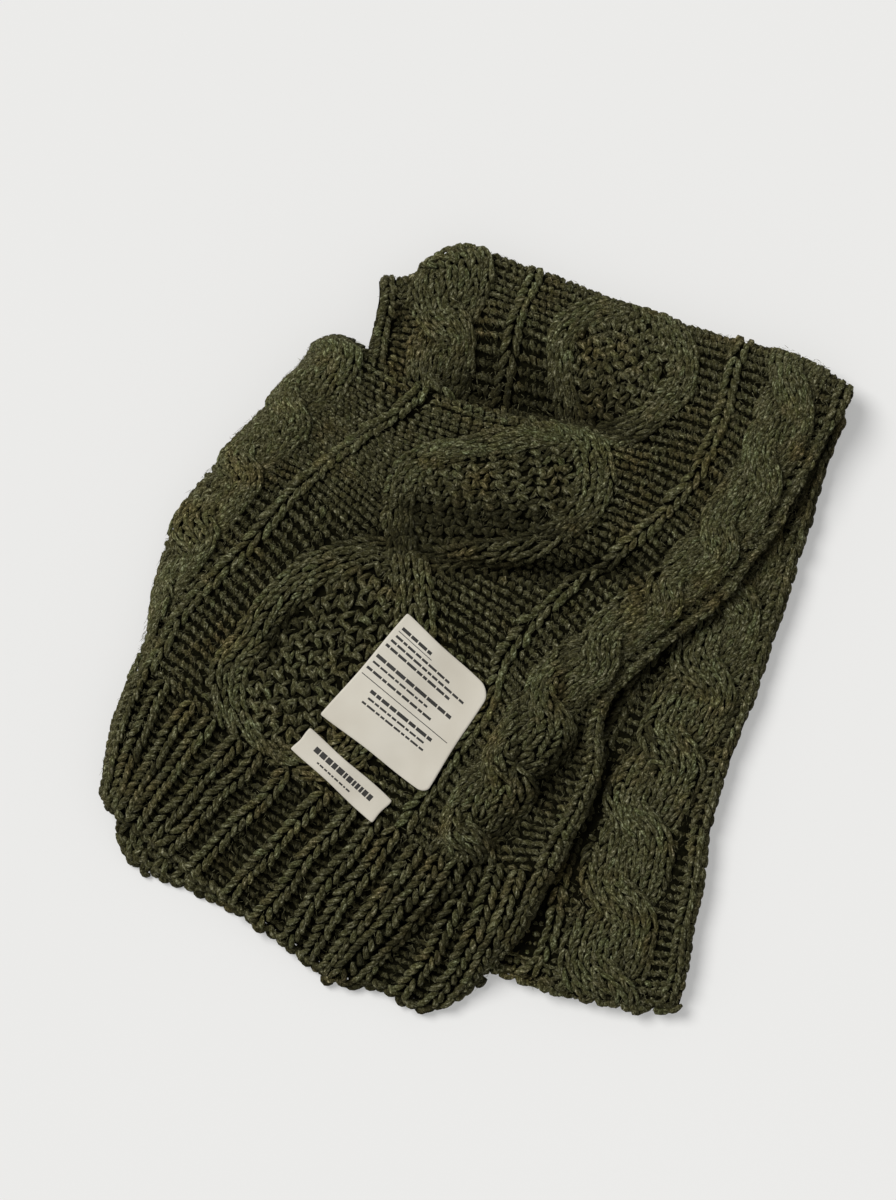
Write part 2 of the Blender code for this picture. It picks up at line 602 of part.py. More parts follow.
def label(name, corners, cells, on):
    """A thin label that lies over the pattern of the stretch it is sewn to."""
    columns, rows = cells
    first, right, last, left = np.array(corners, float)
    down, over = np.meshgrid(np.linspace(0, 1, rows + 1), np.linspace(0, 1, columns + 1), indexing="ij")
    down = down[..., None]
    over = over[..., None]
    place = (first * (1 - over) + right * over) * (1 - down) + (left * (1 - over) + last * over) * down
    tree = tree_of(on)
    reach = 0.75 * np.linalg.norm(right - first) / columns
    cloth = np.array([
        [max(cloth_heights([tree], *spot, reach, False)) for spot in line]
        for line in place
    ])
    height = cloth.copy()
    for _ in range(LABEL_EASINGS):
        padded = np.pad(height, 1, mode="edge")
        around = padded[:-2, 1:-1] + padded[2:, 1:-1] + padded[1:-1, :-2] + padded[1:-1, 2:]
        height = np.maximum(cloth, around / 4)
    lower = np.dstack([place, height + GAP])
    upper = lower + (0, 0, LABEL_THICKNESS)
    rim = np.array([(lower[spot] + upper[spot]) / 2 for spot in border(rows, columns)])
    return wall(name, upper, lower, rim, OFF_WHITE)


def main():
    for thing in list(bpy.data.objects):
        bpy.data.objects.remove(thing)
    front = front_stretch()
    walls = [front, upper_stretch(), under_stretch()]
    hem = second_hem()
    bpy.context.view_layer.update()
    folded_layers([*walls, hem])
    label("big_label", LABEL_CORNERS, (LABEL_CELLS, LABEL_CELLS), front)
    label("small_label", SMALL_LABEL_CORNERS, SMALL_LABEL_CELLS, front)
    to_origin = Matrix.Translation((-MIDDLE[0] * MM, -MIDDLE[1] * MM, 0))
    for thing in bpy.data.objects:
        thing.data.transform(to_origin)


main()
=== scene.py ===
"""The looks of the folded cable-knit scarf: every visible stitch as yarn over a thin cloth, and two labels.

Lengths are in millimetres until a mesh is made, and the table is at z = 0. A stretch of cloth is a
surface over `across`, millimetres from its left edge, and `course`, which counts the pattern's
repeats along it. Stitches are placed by across and row; a row is one line of knitting.
"""

import math
from collections import namedtuple

import bpy
import numpy as np
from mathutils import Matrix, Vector
from mathutils.bvhtree import BVHTree


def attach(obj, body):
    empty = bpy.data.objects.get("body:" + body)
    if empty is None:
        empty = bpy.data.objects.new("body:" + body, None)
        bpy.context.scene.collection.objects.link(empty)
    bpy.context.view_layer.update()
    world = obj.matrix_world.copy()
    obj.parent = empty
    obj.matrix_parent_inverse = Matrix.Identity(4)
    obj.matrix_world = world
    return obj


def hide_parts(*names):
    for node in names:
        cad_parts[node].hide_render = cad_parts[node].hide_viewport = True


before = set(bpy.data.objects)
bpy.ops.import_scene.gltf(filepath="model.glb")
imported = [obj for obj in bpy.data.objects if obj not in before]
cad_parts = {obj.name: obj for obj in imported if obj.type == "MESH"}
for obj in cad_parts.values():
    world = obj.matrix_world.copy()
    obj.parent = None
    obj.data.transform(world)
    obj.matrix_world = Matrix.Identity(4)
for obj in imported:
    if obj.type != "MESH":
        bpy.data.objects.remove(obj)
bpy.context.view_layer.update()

MM = 0.001
MIDDLE = (-1.41, 2.66)  # the middle of the scarf, as the tables below count

# The cloth and its pattern, flat.
CUT_WIDTH = 336.0
WALL = 6.0
RIB_PITCH = 14.6
# Where the ribs' crests are across the front's hem, from the left side where it turns under.
RIB_CRESTS = (46.0, 60, 75, 88, 110, 128, 141, 156, 168, 184, 202, 216, 229, 241, 260, 278, 290,
              303, 313, 322, 331, 340)
RIB_RISE = 4.0
RIB_START = 2.0  # the course where the cables end and the ribs begin
ROPE_CENTRES = (46.0, 290.0)
RIDGE_CENTRES = (92.0, 244.0)
MOTIF_CENTRE = 168.0
MOTIF_HALF = 43.0  # from the middle line to a strand's middle, at the widest
STRAND_RADIUS = 10.5
ROPE_STRAND = 12.0  # half the width of one of a rope's strands
ROPE_HALF = 11.5  # from the rope's middle to a strand's middle, at the widest
ROPE_TURN = 52.0  # from one of a rope's crossings to the next
ROPE_TURN_STARTS = (0.89, -0.03)  # a course where each rope's strands lie side by side
# The oval just before the ribs keeps its width longer: by how much, at each course.
MOTIF_LATE = ((1.5, 1.6, 1.72, 1.83, 1.9, 1.95, 2.0), (0, 0.01, 0.045, 0.08, 0.08, 0.045, 0))
NEAR_OVAL_NARROW = 0.14  # how much narrower than the others it is
ROPE_RISE = 5.5
MOTIF_RISE = 4.5
RIDGE_RISE = 3.0
RIDGE_RADIUS = 6.5
EDGE_COLUMN = 5.5  # from the cloth's edge to the middle of its edge column
ROW = 6.6  # one row of knitting, along the cloth

FrontRow = namedtuple(
    "FrontRow", "course edge_l side_l rope_l ridge_l centre ridge_r rope_r flap edge_r"
)
UnderRow = namedtuple("UnderRow", "course outer strip rope slit ridge inner")
HemRow = namedtuple("HemRow", "across root middle hem")
Fold = namedtuple("Fold", "name depth width path")
# rows: each course's row of knitting. hollow: how much painted shade a place gets, from 0 to 1, mostly as it
# lies deeper in a crease, and below 0 a painted highlight.
Cloth = namedtuple("Cloth", "place low high courses rows hollow", defaults=(None, None, None))
Yarn = namedtuple("Yarn", "across row lift radius")  # arrays: one line of points for each tube

LINES = np.array([0, 24, 46, 92, MOTIF_CENTRE, 244, 290, 314, CUT_WIDTH])
UNDER_LINES = np.array([0, 12, 38, 68, 78, 105.0])
UNDER_WIDTH = UNDER_LINES[-1]
COURSE_LENGTH = 140.0
UNDER_ROPE_AT, UNDER_RIDGE_AT = UNDER_WIDTH - UNDER_LINES[2], UNDER_WIDTH - UNDER_LINES[4]
# The purl ground: where each band of it starts and ends across the cloth, and its wales.
GROUND_BANDS = ((12.0, 34.0, 4), (58.0, 86.5, 6), (98.0, 118.0, 4), (218.0, 238.0, 4),
                (250.0, 278.0, 6), (302.0, 328.0, 5))
UNDER_BANDS = ((0.5, 20.5, 4), (31.0, 58.0, 5), (74.0, UNDER_WIDTH - 7.5, 5))
MOTIF_FIELD = 50  # the motif's field reaches this far to each side of its middle line

FRONT = (
    FrontRow(-0.05, (-101, 180, 6), (-107, 183, 16), (-92, 187, 28), (-36, 156, 30), (66, 126, 33),
             (140, 106, 35), (169, 84, 35), (185, 75, 33), (197, 80, 30)),
    FrontRow(0.0, (-102, 177, 6), (-108, 181, 20), (-94, 185, 37), (-38, 154, 41), (64, 124, 36),
             (136, 99, 35), (165, 77, 35), (182, 69, 33), (195, 73, 30)),
    FrontRow(0.08, (-106, 171, 6), (-112, 174, 22), (-99, 178, 41), (-44, 148, 45), (56, 119, 38),
             (129, 91, 35), (159, 69, 35), (176, 60, 33), (188, 64, 30)),
    FrontRow(0.5, (-126, 144, 5), (-132, 149, 20), (-117, 151, 40), (-71, 128, 44), (7, 88, 44),
             (91, 53, 36), (123, 26, 36), (136, 17, 33), (147, 13.5, 30)),
    FrontRow(0.7, (-137.2, 131.5, 4.6), (-142.8, 137.2, 19.2), (-126.6, 137.8, 38.7), (-84.5, 118.2, 43),
             (-15.6, 73.9, 43.1), (64.7, 32.6, 36.8), (96.5, 4, 36.8), (109, -5, 33.5), (118.5, -8, 30)),
    FrontRow(1.0, (-156, 110, 4), (-161, 116, 18), (-143, 115, 36), (-107, 100, 41), (-48, 50, 40),
             (26, 0, 38), (57, -29, 38), (73, -40, 34), (84, -42, 30)),
    FrontRow(1.5, (-193, 56, 3), (-199, 59, 15), (-178, 61, 31), (-155, 49, 36), (-96, -10, 39),
             (-1, -57, 38), (20, -76, 38), (53, -88, 31), (76, -92, 30)),
    FrontRow(1.75, (-199, 14, 2), (-208, 16, 8), (-202, 15, 20), (-188, 14, 31), (-118, -43, 37),
             (-27, -93, 36), (-2, -108, 36), (31, -118, 30), (63, -124, 30)),
    FrontRow(2.0, (-204, -25, 2), (-211, -27, 5), (-219, -34, 12), (-211, -25, 25), (-142, -77, 34),
             (-50, -128, 34), (-16, -146, 33), (13, -151, 30), (49, -152, 30)),
    FrontRow(2.5, (-211, -69, 2), (-217, -70, 4), (-229, -71, 9), (-228, -66, 21), (-172, -108, 27),
             (-82, -170, 28), (-46, -187, 26), (-6, -200, 25), (25, -196, 27)),
    FrontRow(3.0, (-217, -107, 8), (-224, -110, 8), (-233, -111, 9), (-238, -105, 16), (-201, -138, 17),
             (-108, -208, 9), (-79, -226, 7.5), (-32, -239, 7), (3, -221, 7.5)),
)
UPPER = (
    FrontRow(-1.02, (-60, 223, 16), (-43, 224, 16), (-17, 239, 16), (34, 227, 16), (101, 201, 16),
             (169, 181, 16), (205, 170, 16), (222, 162, 16), (235, 153, 16)),
    FrontRow(-0.92, (-62, 227, 21), (-44, 228, 22), (-17, 243, 23), (36, 231, 23), (103, 205, 23),
             (170, 185, 23), (206, 174, 23), (224, 165, 22), (238, 156, 22)),
    FrontRow(-0.84, (-62, 221, 25), (-44, 222, 27), (-18, 236, 28), (34, 224, 29), (100, 199, 29),
             (167, 180, 30), (203, 167, 30), (221, 158, 29), (236, 151, 28)),
    FrontRow(-0.4, (-65, 197, 27), (-43, 197, 30), (-20, 200, 32), (22, 194, 33), (87, 165, 34),
             (155, 141, 35), (189, 123, 35), (205, 114, 33), (217, 116, 30)),
    FrontRow(0.0, (-69, 168, 27), (-48, 159, 29), (-28, 155, 30), (13, 143, 31), (64, 124, 34),
             (136, 99, 35), (165, 77, 35), (182, 69, 33), (195, 73, 30)),
    FrontRow(0.5, (-75, 128, 25), (-56, 120, 26), (-38, 114, 26), (-6, 104, 27), (7, 88, 30),
             (91, 53, 36), (123, 26, 36), (137, 17, 33), (149, 14, 30)),
)
UNDER = (
    UnderRow(0, (234, 141, 16), (227, 143, 15.5), (209, 149, 15.5), (185, 156, 15), (174, 159, 15),
             (149, 167, 13)),
    UnderRow(1, (214.5, 85, 17), (206.5, 87, 15.5), (187, 94, 16), (164, 101, 15), (153, 104, 15),
             (128, 112, 13)),
    UnderRow(2, (195, 22, 17), (186, 25, 15.5), (168, 30, 16), (140, 39, 15), (131, 41, 15),
             (106, 49, 13)),
    UnderRow(3, (174.5, -42, 17), (165.5, -40, 15.5), (142, -32, 16), (114, -24, 15), (106, -21, 15),
             (80, -14, 13)),
    UnderRow(4, (151.5, -106, 17), (141, -103, 15.5), (114, -95, 16), (85, -86, 15), (75, -83, 15),
             (52, -76, 13)),
    UnderRow(5, (139.5, -170, 17), (126, -167, 15.5), (100, -158, 16), (72, -150, 15), (57, -146, 15),
             (37, -140, 12.5)),
    UnderRow(6, (131, -222, 17), (117, -220, 16), (87, -215, 16.5), (55, -208, 15), (42, -204, 14.5),
             (12, -195, 12.5)),
    UnderRow(7, (127, -241, 12), (112, -241, 12), (80, -236, 12), (45, -228, 11.5), (27, -222, 11),
             (1, -213, 10)),
    UnderRow(8, (128, -237, 7.5), (113, -237, 7.5), (82, -232, 7.5), (48, -224, 7.5), (30, -218, 7.5),
             (3, -209, 7.5)),
)
HEM = (
    HemRow(0, (-226, -115, 5), (-231, -125, 6), (-231, -135, 5)),
    HemRow(14, (-216, -119, 5), (-222, -132, 6), (-225, -147, 5)),
    HemRow(44, (-185, -137, 5), (-193, -148, 5.5), (-201, -159, 4.5)),
    HemRow(74, (-156, -158, 4), (-163, -164, 4), (-171, -171, 3.8)),
    HemRow(102, (-134, -176, 3.8), (-141, -181, 3.6), (-147, -184, 3.4)),
)
FRONT_FOLDS = (
    Fold("below the front bulge", 8.0, 11.0,
         ((121, 1.3), (143, 1.14), (164, 1.0), (188, 0.905), (208, 0.815), (232, 0.715), (248, 0.585),
          (263, 0.4))),
    Fold("the bulge's near side", 4.0, 24.0,
         ((140, 1.0), (152, 0.87), (168, 0.73), (187, 0.63), (206, 0.555), (225, 0.465))),
    Fold("beside the right rope", 6.0, 9.0,
         ((318, 1.05), (315, 1.4), (312, 1.7), (301, 2.05), (293, 2.4), (291, 3.0))),
)
# Finer creases, which only the looks need. A negative depth is a soft ridge.
FRONT_CREASES = (
    Fold("the lip's crest", -3.0, 11.0, ((60, 0.13), (105, 0.18), (140, 0.17), (168, 0.12), (190, 0.06))),
    Fold("above the crossing strand", 6.0, 11.0,
         ((128, 0.90), (160, 0.77), (181, 0.67), (199, 0.57), (214, 0.45))),
    Fold("the bulge's foot", 6.0, 5.5,
         ((140, 1.0), (154, 0.945), (170, 0.865), (189, 0.75), (205, 0.645), (218, 0.53), (226, 0.42))),
    Fold("under the crossing strand", 9.0, 6.5,
         ((168, 0.995), (188, 0.905), (208, 0.815), (232, 0.715), (248, 0.61), (262, 0.50), (276, 0.46))),
    Fold("right of the right ridge", 5.0, 4.5, ((264, 0.33), (268, 0.39), (274, 0.445), (284, 0.53))),
    Fold("valley in the ribs", 6.0, 6.0, ((303, 1.9), (296, 2.285), (293, 2.73), (292, 3.0))),
    Fold("left rope's first notch", 4.0, 4.0, ((40, 1.0), (48, 0.92), (54, 0.86))),
    Fold("left rope's second notch", 4.0, 4.0, ((40, 1.30), (46, 1.27), (54, 1.33))),
    Fold("the field beside the right rope", 3.5, 9.0,
         ((323, 1.0), (319, 1.2), (316, 1.5), (312, 1.8), (304, 2.1))),
)
FRONT_SLITS = (
    Fold("inside the near oval", 7.0, 5.6, ((146, 1.40), (143, 1.50), (143.5, 1.62), (147, 1.72))),
    Fold("hollow beside the right rope", 7.0, 6.0, ((314, 1.25), (313, 1.345), (311.5, 1.51), (315, 1.66))),
    Fold("first slit in the right rope", 5.0, 3.4, ((266, 0.88), (287, 1.025), (300, 1.2))),
    Fold("second slit in the right rope", 5.0, 3.4, ((267, 1.18), (288, 1.445), (301, 1.655))),
    Fold("third slit in the right rope", 5.0, 3.4, ((270, 1.62), (290, 1.91), (292, 2.0))),
)
UPPER_CREASES = (
    Fold("slope down to the tuck", 6.5, 21.0,
         ((30, -0.14), (80, -0.13), (120, -0.13), (MOTIF_CENTRE, -0.12), (200, -0.10), (222, -0.08))),
    Fold("behind the tuck", 5.0, 8.0,
         ((40, -0.09), (80, -0.09), (120, -0.09), (MOTIF_CENTRE, -0.08), (200, -0.07), (222, -0.06))),
    Fold("beside the left edge", 6.0, 5.0, ((17, -0.76), (16, -0.6), (16, -0.45), (17, -0.25))),
    Fold("slit in the left rope", 4.0, 3.5, ((36, -0.62), (48, -0.55), (56, -0.47))),
)
UNDER_CREASES = (
    Fold("beside the front's edge", 2.2, 6.0,
         ((94, 0.4), (94, 1.0), (78, 1.7), (50, 2.25), (27, 3.2), (27, 3.6), (34, 4.1), (31, 4.6), (25, 5.1),
          (8, 5.9))),
    Fold("beside the outer edge", 2.2, 3.4,
         ((93, 2.6), (92.5, 3.4), (91.5, 3.8), (90.8, 4.45), (89.2, 4.95), (86, 5.7))),
    Fold("left of the rope", 2.2, 3.0,
         ((44, 3.3), (44, 3.7), (41.5, 4.0), (39.5, 4.2), (33, 4.5), (30.5, 4.75), (30, 5.0), (32, 5.35),
          (32, 5.7))),
    Fold("slit across the rope", 2.4, 2.6,
         ((38, 3.1), (45, 3.45), (53.5, 3.62), (61.5, 3.83), (65.5, 4.15))),
)
UNDER_RIM = 7.15  # the course that makes the under stretch's near edge
UNDER_DRIFT = 7.0  # how far the rope leans to the inner edge by its near end
UNDER_ROPE_WIDE = 1.16  # the under stretch's rope is pulled wide
# The front stretch's edge as it lies over the under stretch: from_inner at each course. Beside it the under
# stretch's yarn gets a painted shadow.
EDGE_OVER_UNDER = ((0.25, 90), (1.04, 90), (1.72, 74), (2.25, 45), (3.3, 20), (3.6, 20), (4.1, 29),
                   (4.6, 27), (5.1, 20), (5.9, 0))
TUCK_MEETS = np.array([66, 82, 98, 128, MOTIF_CENTRE, 244, 290, 314, CUT_WIDTH])
TUCK_GAP = 1.6
FRONT_FROM = -0.05
FRONT_TO = 3.0
UPPER_FROM = -1.02
LEFT_TURNS_UNDER = (1.3, 2.0)
LEFT_HIDDEN = RIB_CRESTS[0]
STACK_EDGE = (
    (232, 148), (200, 168), (168, 179), (101, 199), (34, 223), (-17, 235), (-44, 220), (-58, 217),
    (-63, 192), (-67, 166), (-84, 160), (-111, 130), (-140, 97), (-170, 62), (-183, 20), (-190, -22),
    (-206, -64), (-207, -94), (-196, -112), (-172, -132), (-148, -149), (-126, -167), (-98, -186),
    (-66, -198), (-30, -204), (0, -204), (22, -211), (48, -220), (82, -228), (112, -234), (123, -230),
    (127, -219), (138, -171), (150, -107), (174, -43), (195, 21), (213, 85),
)
LABEL_CORNERS = ((-46, 12), (7, -37), (-35, -103), (-101, -52))
SMALL_LABEL_CORNERS = ((-108, -61), (-56, -107), (-69, -121), (-120, -74))
# The dashes in place of the labels' print: down, start and end as shares of the label, the stroke's
# thickness in millimetres, and the longest dash as a share of the width, or 0 for one unbroken rule.
BIG_PRINT = (
    (0.105, 0.05, 0.40, 2.0, 0.10),
    (0.140, 0.04, 0.42, 0.45, 0),
    (0.180, 0.05, 0.66, 1.5, 0.09),
    (0.228, 0.04, 0.88, 1.5, 0.09),
    (0.278, 0.03, 0.74, 1.7, 0.10),
    (0.385, 0.03, 0.84, 2.2, 0.13),
    (0.440, 0.04, 0.64, 1.3, 0.08),
    (0.500, 0.03, 0.72, 1.6, 0.10),
    (0.560, 0.03, 0.93, 0.5, 0),
    (0.625, 0.18, 0.82, 2.2, 0.12),
    (0.680, 0.20, 0.78, 1.3, 0.08),
    (0.730, 0.18, 0.80, 1.3, 0.08),
)
SMALL_PRINT = ((0.42, 0.16, 0.86, 3.4, 0.075), (0.74, 0.26, 0.66, 1.0, 0.05))
# Each corner of the large label, as (over, down), with its radius.
BIG_CORNER_RADII = {(1, 0): 9.0, (1, 1): 6.0, (0, 0): 1.2, (0, 1): 1.0}

# Places where the cloth is cut, sunk or drawn in.
HEM_NOTCH = 298.0  # where the hem's valley pulls its edge back
HEM_NOTCH_WIDTH = 10.0
HEM_NOTCH_DEPTH = 0.075  # in courses
TUCKED_TO = MOTIF_CENTRE + 30  # across the front, how far stitches run on into the tuck
CLOTH_SUNK = 1.3  # the thin cloth lies this far under the stitches' ground
# Stitches lying lower than this above the ground, in millimetres, are painted darker as shade, and higher
# ones lighter as a painted highlight.
SUNK_FROM = 1.6
SUNK_SHADE = 0.14
# How finely surfaces are measured: small steps to each side, in across and in courses, and samples.
ACROSS_STEP = 1.5
COURSE_STEP = 0.012
SLOPE_STEP = 0.02
SPREAD_REACH = 4
ROW_SAMPLES = 241
ARC_SAMPLES = 603
STRAND_SAMPLES = 900
# Stitches: the points along one, as shares of its length, for a long one and for a bead.
T = np.linspace(0, 1, 6)[None, :]
BEAD = np.linspace(0, 1, 5)[None, :]
FLATTENED = 0.92  # a yarn's thickness, as a share of its width
FLOOR_GAP = 0.15  # the least room between a yarn and the table
PLIES = 4
PLY_TURN = 8.0  # millimetres of yarn for one ply to take the next one's place
LAYER_SIDES = 240
# The labels: heights over the stitches' smoothed tops, in millimetres.
TAPE_BOTTOM, TAPE_TOP, INK_TOP = 0.5, 1.1, 1.16
RAY_FROM = 0.2  # metres above the table, over everything
PEAKS_SPREAD, SETTLING, RELAXING = 3, 125, 5  # steps: lifted over the peaks, laid on them, smoothed
DASH_WEIGHT = 1.1  # the dashes are this much thicker than the strokes they stand in for
DASH_GAP = 0.8

WHITE, BLACK = (1, 1, 1), (0, 0, 0)
FLOOR_HALF = 6.0
PIXEL = 0.64  # millimetres of the scarf's plane in one pixel of the picture
PHOTO_SIZE = (896, 1200)
PHOTO_ORIGIN = (479.5, 632.5)  # the pixel where the tables count from
SENSOR = 36.0
CAMERA_HEIGHT = 4.0
PLANE = 0.025  # the height where the picture's scale holds

rng = np.random.default_rng(20)


# ---------------------------------------------------------------- the cloth's surfaces


def ease(low, high, value):
    t = np.clip((value - low) / (high - low), 0, 1)
    return t * t * (3 - 2 * t)


def unit(vectors):
    return vectors / np.maximum(np.linalg.norm(vectors, axis=-1, keepdims=True), 1e-9)


def paired(across, course):
    """Both as arrays of numbers, in one shape."""
    return np.broadcast_arrays(np.asarray(across, float), np.asarray(course, float))


def arc_lengths(points):
    """How far along a line of points each of them lies."""
    return np.concatenate([[0], np.cumsum(np.linalg.norm(np.diff(points, axis=0), axis=1))])


def weights(knots, at):
    """Cubic spline weights of each knot at each place, with three-point tangents."""
    knots = np.asarray(knots, float)
    at = np.clip(at, knots[0], knots[-1])
    steps = np.diff(knots)
    eye = np.eye(len(knots))
    slopes = (eye[1:] - eye[:-1]) / steps[:, None]
    tangents = np.empty_like(eye)
    tangents[0] = slopes[0]
    tangents[-1] = slopes[-1]
    for k in range(1, len(knots) - 1):
        tangents[k] = (steps[k] * slopes[k - 1] + steps[k - 1] * slopes[k]) / (steps[k - 1] + steps[k])
    span = np.clip(np.searchsorted(knots, at, side="right") - 1, 0, len(knots) - 2)
    step = steps[span]
    t = (at - knots[span]) / step
    first = (2 * t**3 - 3 * t**2 + 1)[..., None] * eye[span]
    last = (3 * t**2 - 2 * t**3)[..., None] * eye[span + 1]
    leaving = ((t**3 - 2 * t**2 + t) * step)[..., None] * tangents[span]
    arriving = ((t**3 - t**2) * step)[..., None] * tangents[span + 1]
    return first + last + leaving + arriving


def through(rows, lines, across, course):
    """The spline surface through a table's rows of points."""
    across, course = paired(across, course)
    places = np.array([row[1:] for row in rows], float)
    sections = np.tensordot(weights([row[0] for row in rows], course), places, 1)
    return np.einsum("...j,...jk->...k", weights(lines, across), sections)


def fold_depth(folds, across, course):
    """How far the folds sink the cloth: a soft trough round each path, fading out at its ends."""
    across, course = paired(across, course)
    depth = np.zeros(across.shape)
    for fold in folds:
        path = np.array(fold.path, float) * (1, COURSE_LENGTH)
        spans = np.linalg.norm(np.diff(path, axis=0), axis=1)
        starts = arc_lengths(path)
        nearest = np.full(depth.shape, np.inf)
        along = np.zeros(depth.shape)
        for k, span in enumerate(spans):
            direction = (path[k + 1] - path[k]) / span
            from_start = np.stack([across - path[k][0], course * COURSE_LENGTH - path[k][1]], -1)
            t = np.clip(from_start @ direction, 0, span)
            away = np.linalg.norm(from_start - t[..., None] * direction, axis=-1)
            closer = away < nearest
            nearest = np.where(closer, away, nearest)
            along = np.where(closer, starts[k] + t, along)
        share = along / starts[-1]
        fade = ease(-0.1, 0.3, share) * ease(-0.1, 0.3, 1 - share)
        depth += fold.depth * fade * np.exp(-((nearest / fold.width) ** 2))
    return depth


def on_tuck(across):
    """1 where the front stretch's far edge rises steeply as a tuck, 0 where it runs on flat."""
    return ease(MOTIF_CENTRE + 60, MOTIF_CENTRE, across)


def in_ribs(course):
    """0 in the cables and 1 in the ribs."""
    return ease(RIB_START - 0.04, RIB_START + 0.06, course)


def rib_wave(across):
    """1 on a rib's crest and 0 in the valley between two."""
    rib = np.interp(across, RIB_CRESTS, np.arange(len(RIB_CRESTS)))
    return 0.5 + 0.5 * np.cos(2 * np.pi * rib)


def front_place(across, course):
    across, course = paired(across, course)
    notch = np.exp(-(((across - HEM_NOTCH) / HEM_NOTCH_WIDTH) ** 2))
    place = through(FRONT, LINES, across, course - HEM_NOTCH_DEPTH * notch * ease(2.3, 3.0, course))
    place[..., 2] -= fold_depth(FRONT_FOLDS + FRONT_CREASES + FRONT_SLITS, across, course)
    return place


def upper_place(across, course):
    """The upper stretch, drawn at its near end to the front stretch's far edge."""
    place = through(UPPER, LINES, across, course)
    meets = np.interp(across, LINES, TUCK_MEETS)
    edge = front_place(meets, FRONT_FROM)
    beside = front_place(meets + 1.0, FRONT_FROM) - front_place(meets - 1.0, FRONT_FROM)
    outward = unit(np.stack([-beside[..., 1], beside[..., 0]], -1))
    wanted = edge.copy()
    wanted[..., :2] += outward * (0.6 + TUCK_GAP * on_tuck(meets)[..., None])
    pull = ease(-0.45, FRONT_FROM, np.asarray(course, float))[..., None]
    place = place + pull * (wanted - through(UPPER, LINES, across, FRONT_FROM))
    place[..., 2] -= fold_depth(UPPER_CREASES, across, course)
    return place


def under_place(from_inner, course):
    place = through(UNDER, UNDER_LINES, UNDER_WIDTH - np.asarray(from_inner, float), course)
    place[..., 2] -= fold_depth(UNDER_CREASES, from_inner, course)
    return place


def under_drift(course):
    """How far to the inner edge the under stretch's rope leans."""
    return -UNDER_DRIFT * ease(3.4, 4.8, course)


def hem_place(across, course):
    across, course = paired(across, course)
    places = np.array([row[1:] for row in HEM], float)
    by_line = weights([row.across for row in HEM], across)
    return np.einsum("...j,...i,jik->...k", by_line, weights([0, 1, 2], course), places)


def front_painted_shade(across, course):
    """Painted shade on the front, by how deep in a crease a place lies: each set of folds counts in full at
    its own depth. The ribs' valleys are painted darker too, and the tuck's crest gets a painted highlight.
    """
    folds = sum(fold_depth(folds, across, course) / full for folds, full in (
        (FRONT_FOLDS[:1] + FRONT_FOLDS[2:] + FRONT_CREASES[1:], 13),
        (FRONT_FOLDS[1:2], 8),
        (FRONT_SLITS, 6),
    ))
    # Painted shade in the ribs' valleys.
    valley_shade = 0.48 * (1 - rib_wave(across)) * in_ribs(course)
    # A painted highlight along the tuck's crest.
    crest_highlight = 0.45 * on_tuck(across) * np.exp(-(((course - 0.02) / 0.06) ** 2))
    front = np.maximum(folds, valley_shade) + 0.3 * np.minimum(folds, valley_shade) - crest_highlight
    return np.where(course > FRONT_FROM - 0.03, front, upper_painted_shade(across, course))


# Painted shade in the upper stretch's creases, before the tuck.
def upper_painted_shade(across, course):
    return fold_depth(UPPER_CREASES, across, course) / 9 * (np.asarray(course) < FRONT_FROM)


# A painted shadow beside the front stretch's covering edge, and painted shade in the under stretch's
# creases.
def under_painted_shade(from_inner, course):
    edge = np.interp(course, *zip(*EDGE_OVER_UNDER))
    beside = 0.5 * ease(edge + 15, edge + 6, from_inner) + 0.5 * ease(edge + 7, edge + 2, from_inner)
    creases = fold_depth(UNDER_CREASES, from_inner, course) / 3
    return np.maximum(beside * ease(7.2, 6.4, course), creases)


# A little painted shade all over the second hem.
def hem_painted_shade(across, course):
    return 0.1 + 0 * np.asarray(across, float)


def joined(near, straight, beyond, share, over):
    """A surface past its joint: straight on where share is 1, and on the next surface where it is 0."""
    mix = share[..., None] * straight + (1 - share[..., None]) * beyond
    return np.where(over[..., None], mix, near)


def front_side(across, course):
    """The front stretch, which goes on into the upper stretch where no tuck parts them."""
    near = front_place(across, np.maximum(course, FRONT_FROM))
    rise = front_place(across, FRONT_FROM + SLOPE_STEP) - front_place(across, FRONT_FROM)
    straight = near + rise / SLOPE_STEP * np.minimum(course - FRONT_FROM, 0)[..., None]
    beyond = upper_place(across, np.minimum(course, FRONT_FROM))
    return joined(near, straight, beyond, on_tuck(across), course < FRONT_FROM)


def upper_side(across, course):
    """The upper stretch, which goes on into the front stretch where no tuck parts them."""
    near = upper_place(across, np.minimum(course, FRONT_FROM))
    rise = upper_place(across, FRONT_FROM) - upper_place(across, FRONT_FROM - SLOPE_STEP)
    straight = near + rise / SLOPE_STEP * np.maximum(course - FRONT_FROM, 0)[..., None]
    beyond = front_place(across, np.maximum(course, FRONT_FROM))
    share = on_tuck(np.interp(across, LINES, TUCK_MEETS))
    return joined(near, straight, beyond, share, course > FRONT_FROM)


def top_layer_place(across, course):
    """The top layer's lines as one length: the upper stretch's own, then the front stretch's."""
    own = upper_place(across, np.minimum(course, FRONT_FROM))
    further = front_place(across, np.maximum(course, FRONT_FROM))
    return own + further - front_place(across, FRONT_FROM)


def make_cloth(place, low, high, hollow, rows_from=None):
    """A stretch of cloth, with the course of each row of knitting worked out from its mean length."""
    courses = np.linspace(low[1], high[1], ROW_SAMPLES)
    lines = low[0] + (high[0] - low[0]) * np.linspace(0.5, 0.9, 7)
    points = (rows_from or place)(*np.meshgrid(lines, courses))
    steps = np.linalg.norm(np.diff(points, axis=0), axis=2).mean(1)
    rows = np.concatenate([[0], np.cumsum(steps)]) / ROW
    return Cloth(place, low, high, courses, rows, hollow)


def row_of(cloth, course):
    return float(np.interp(course, cloth.courses, cloth.rows))


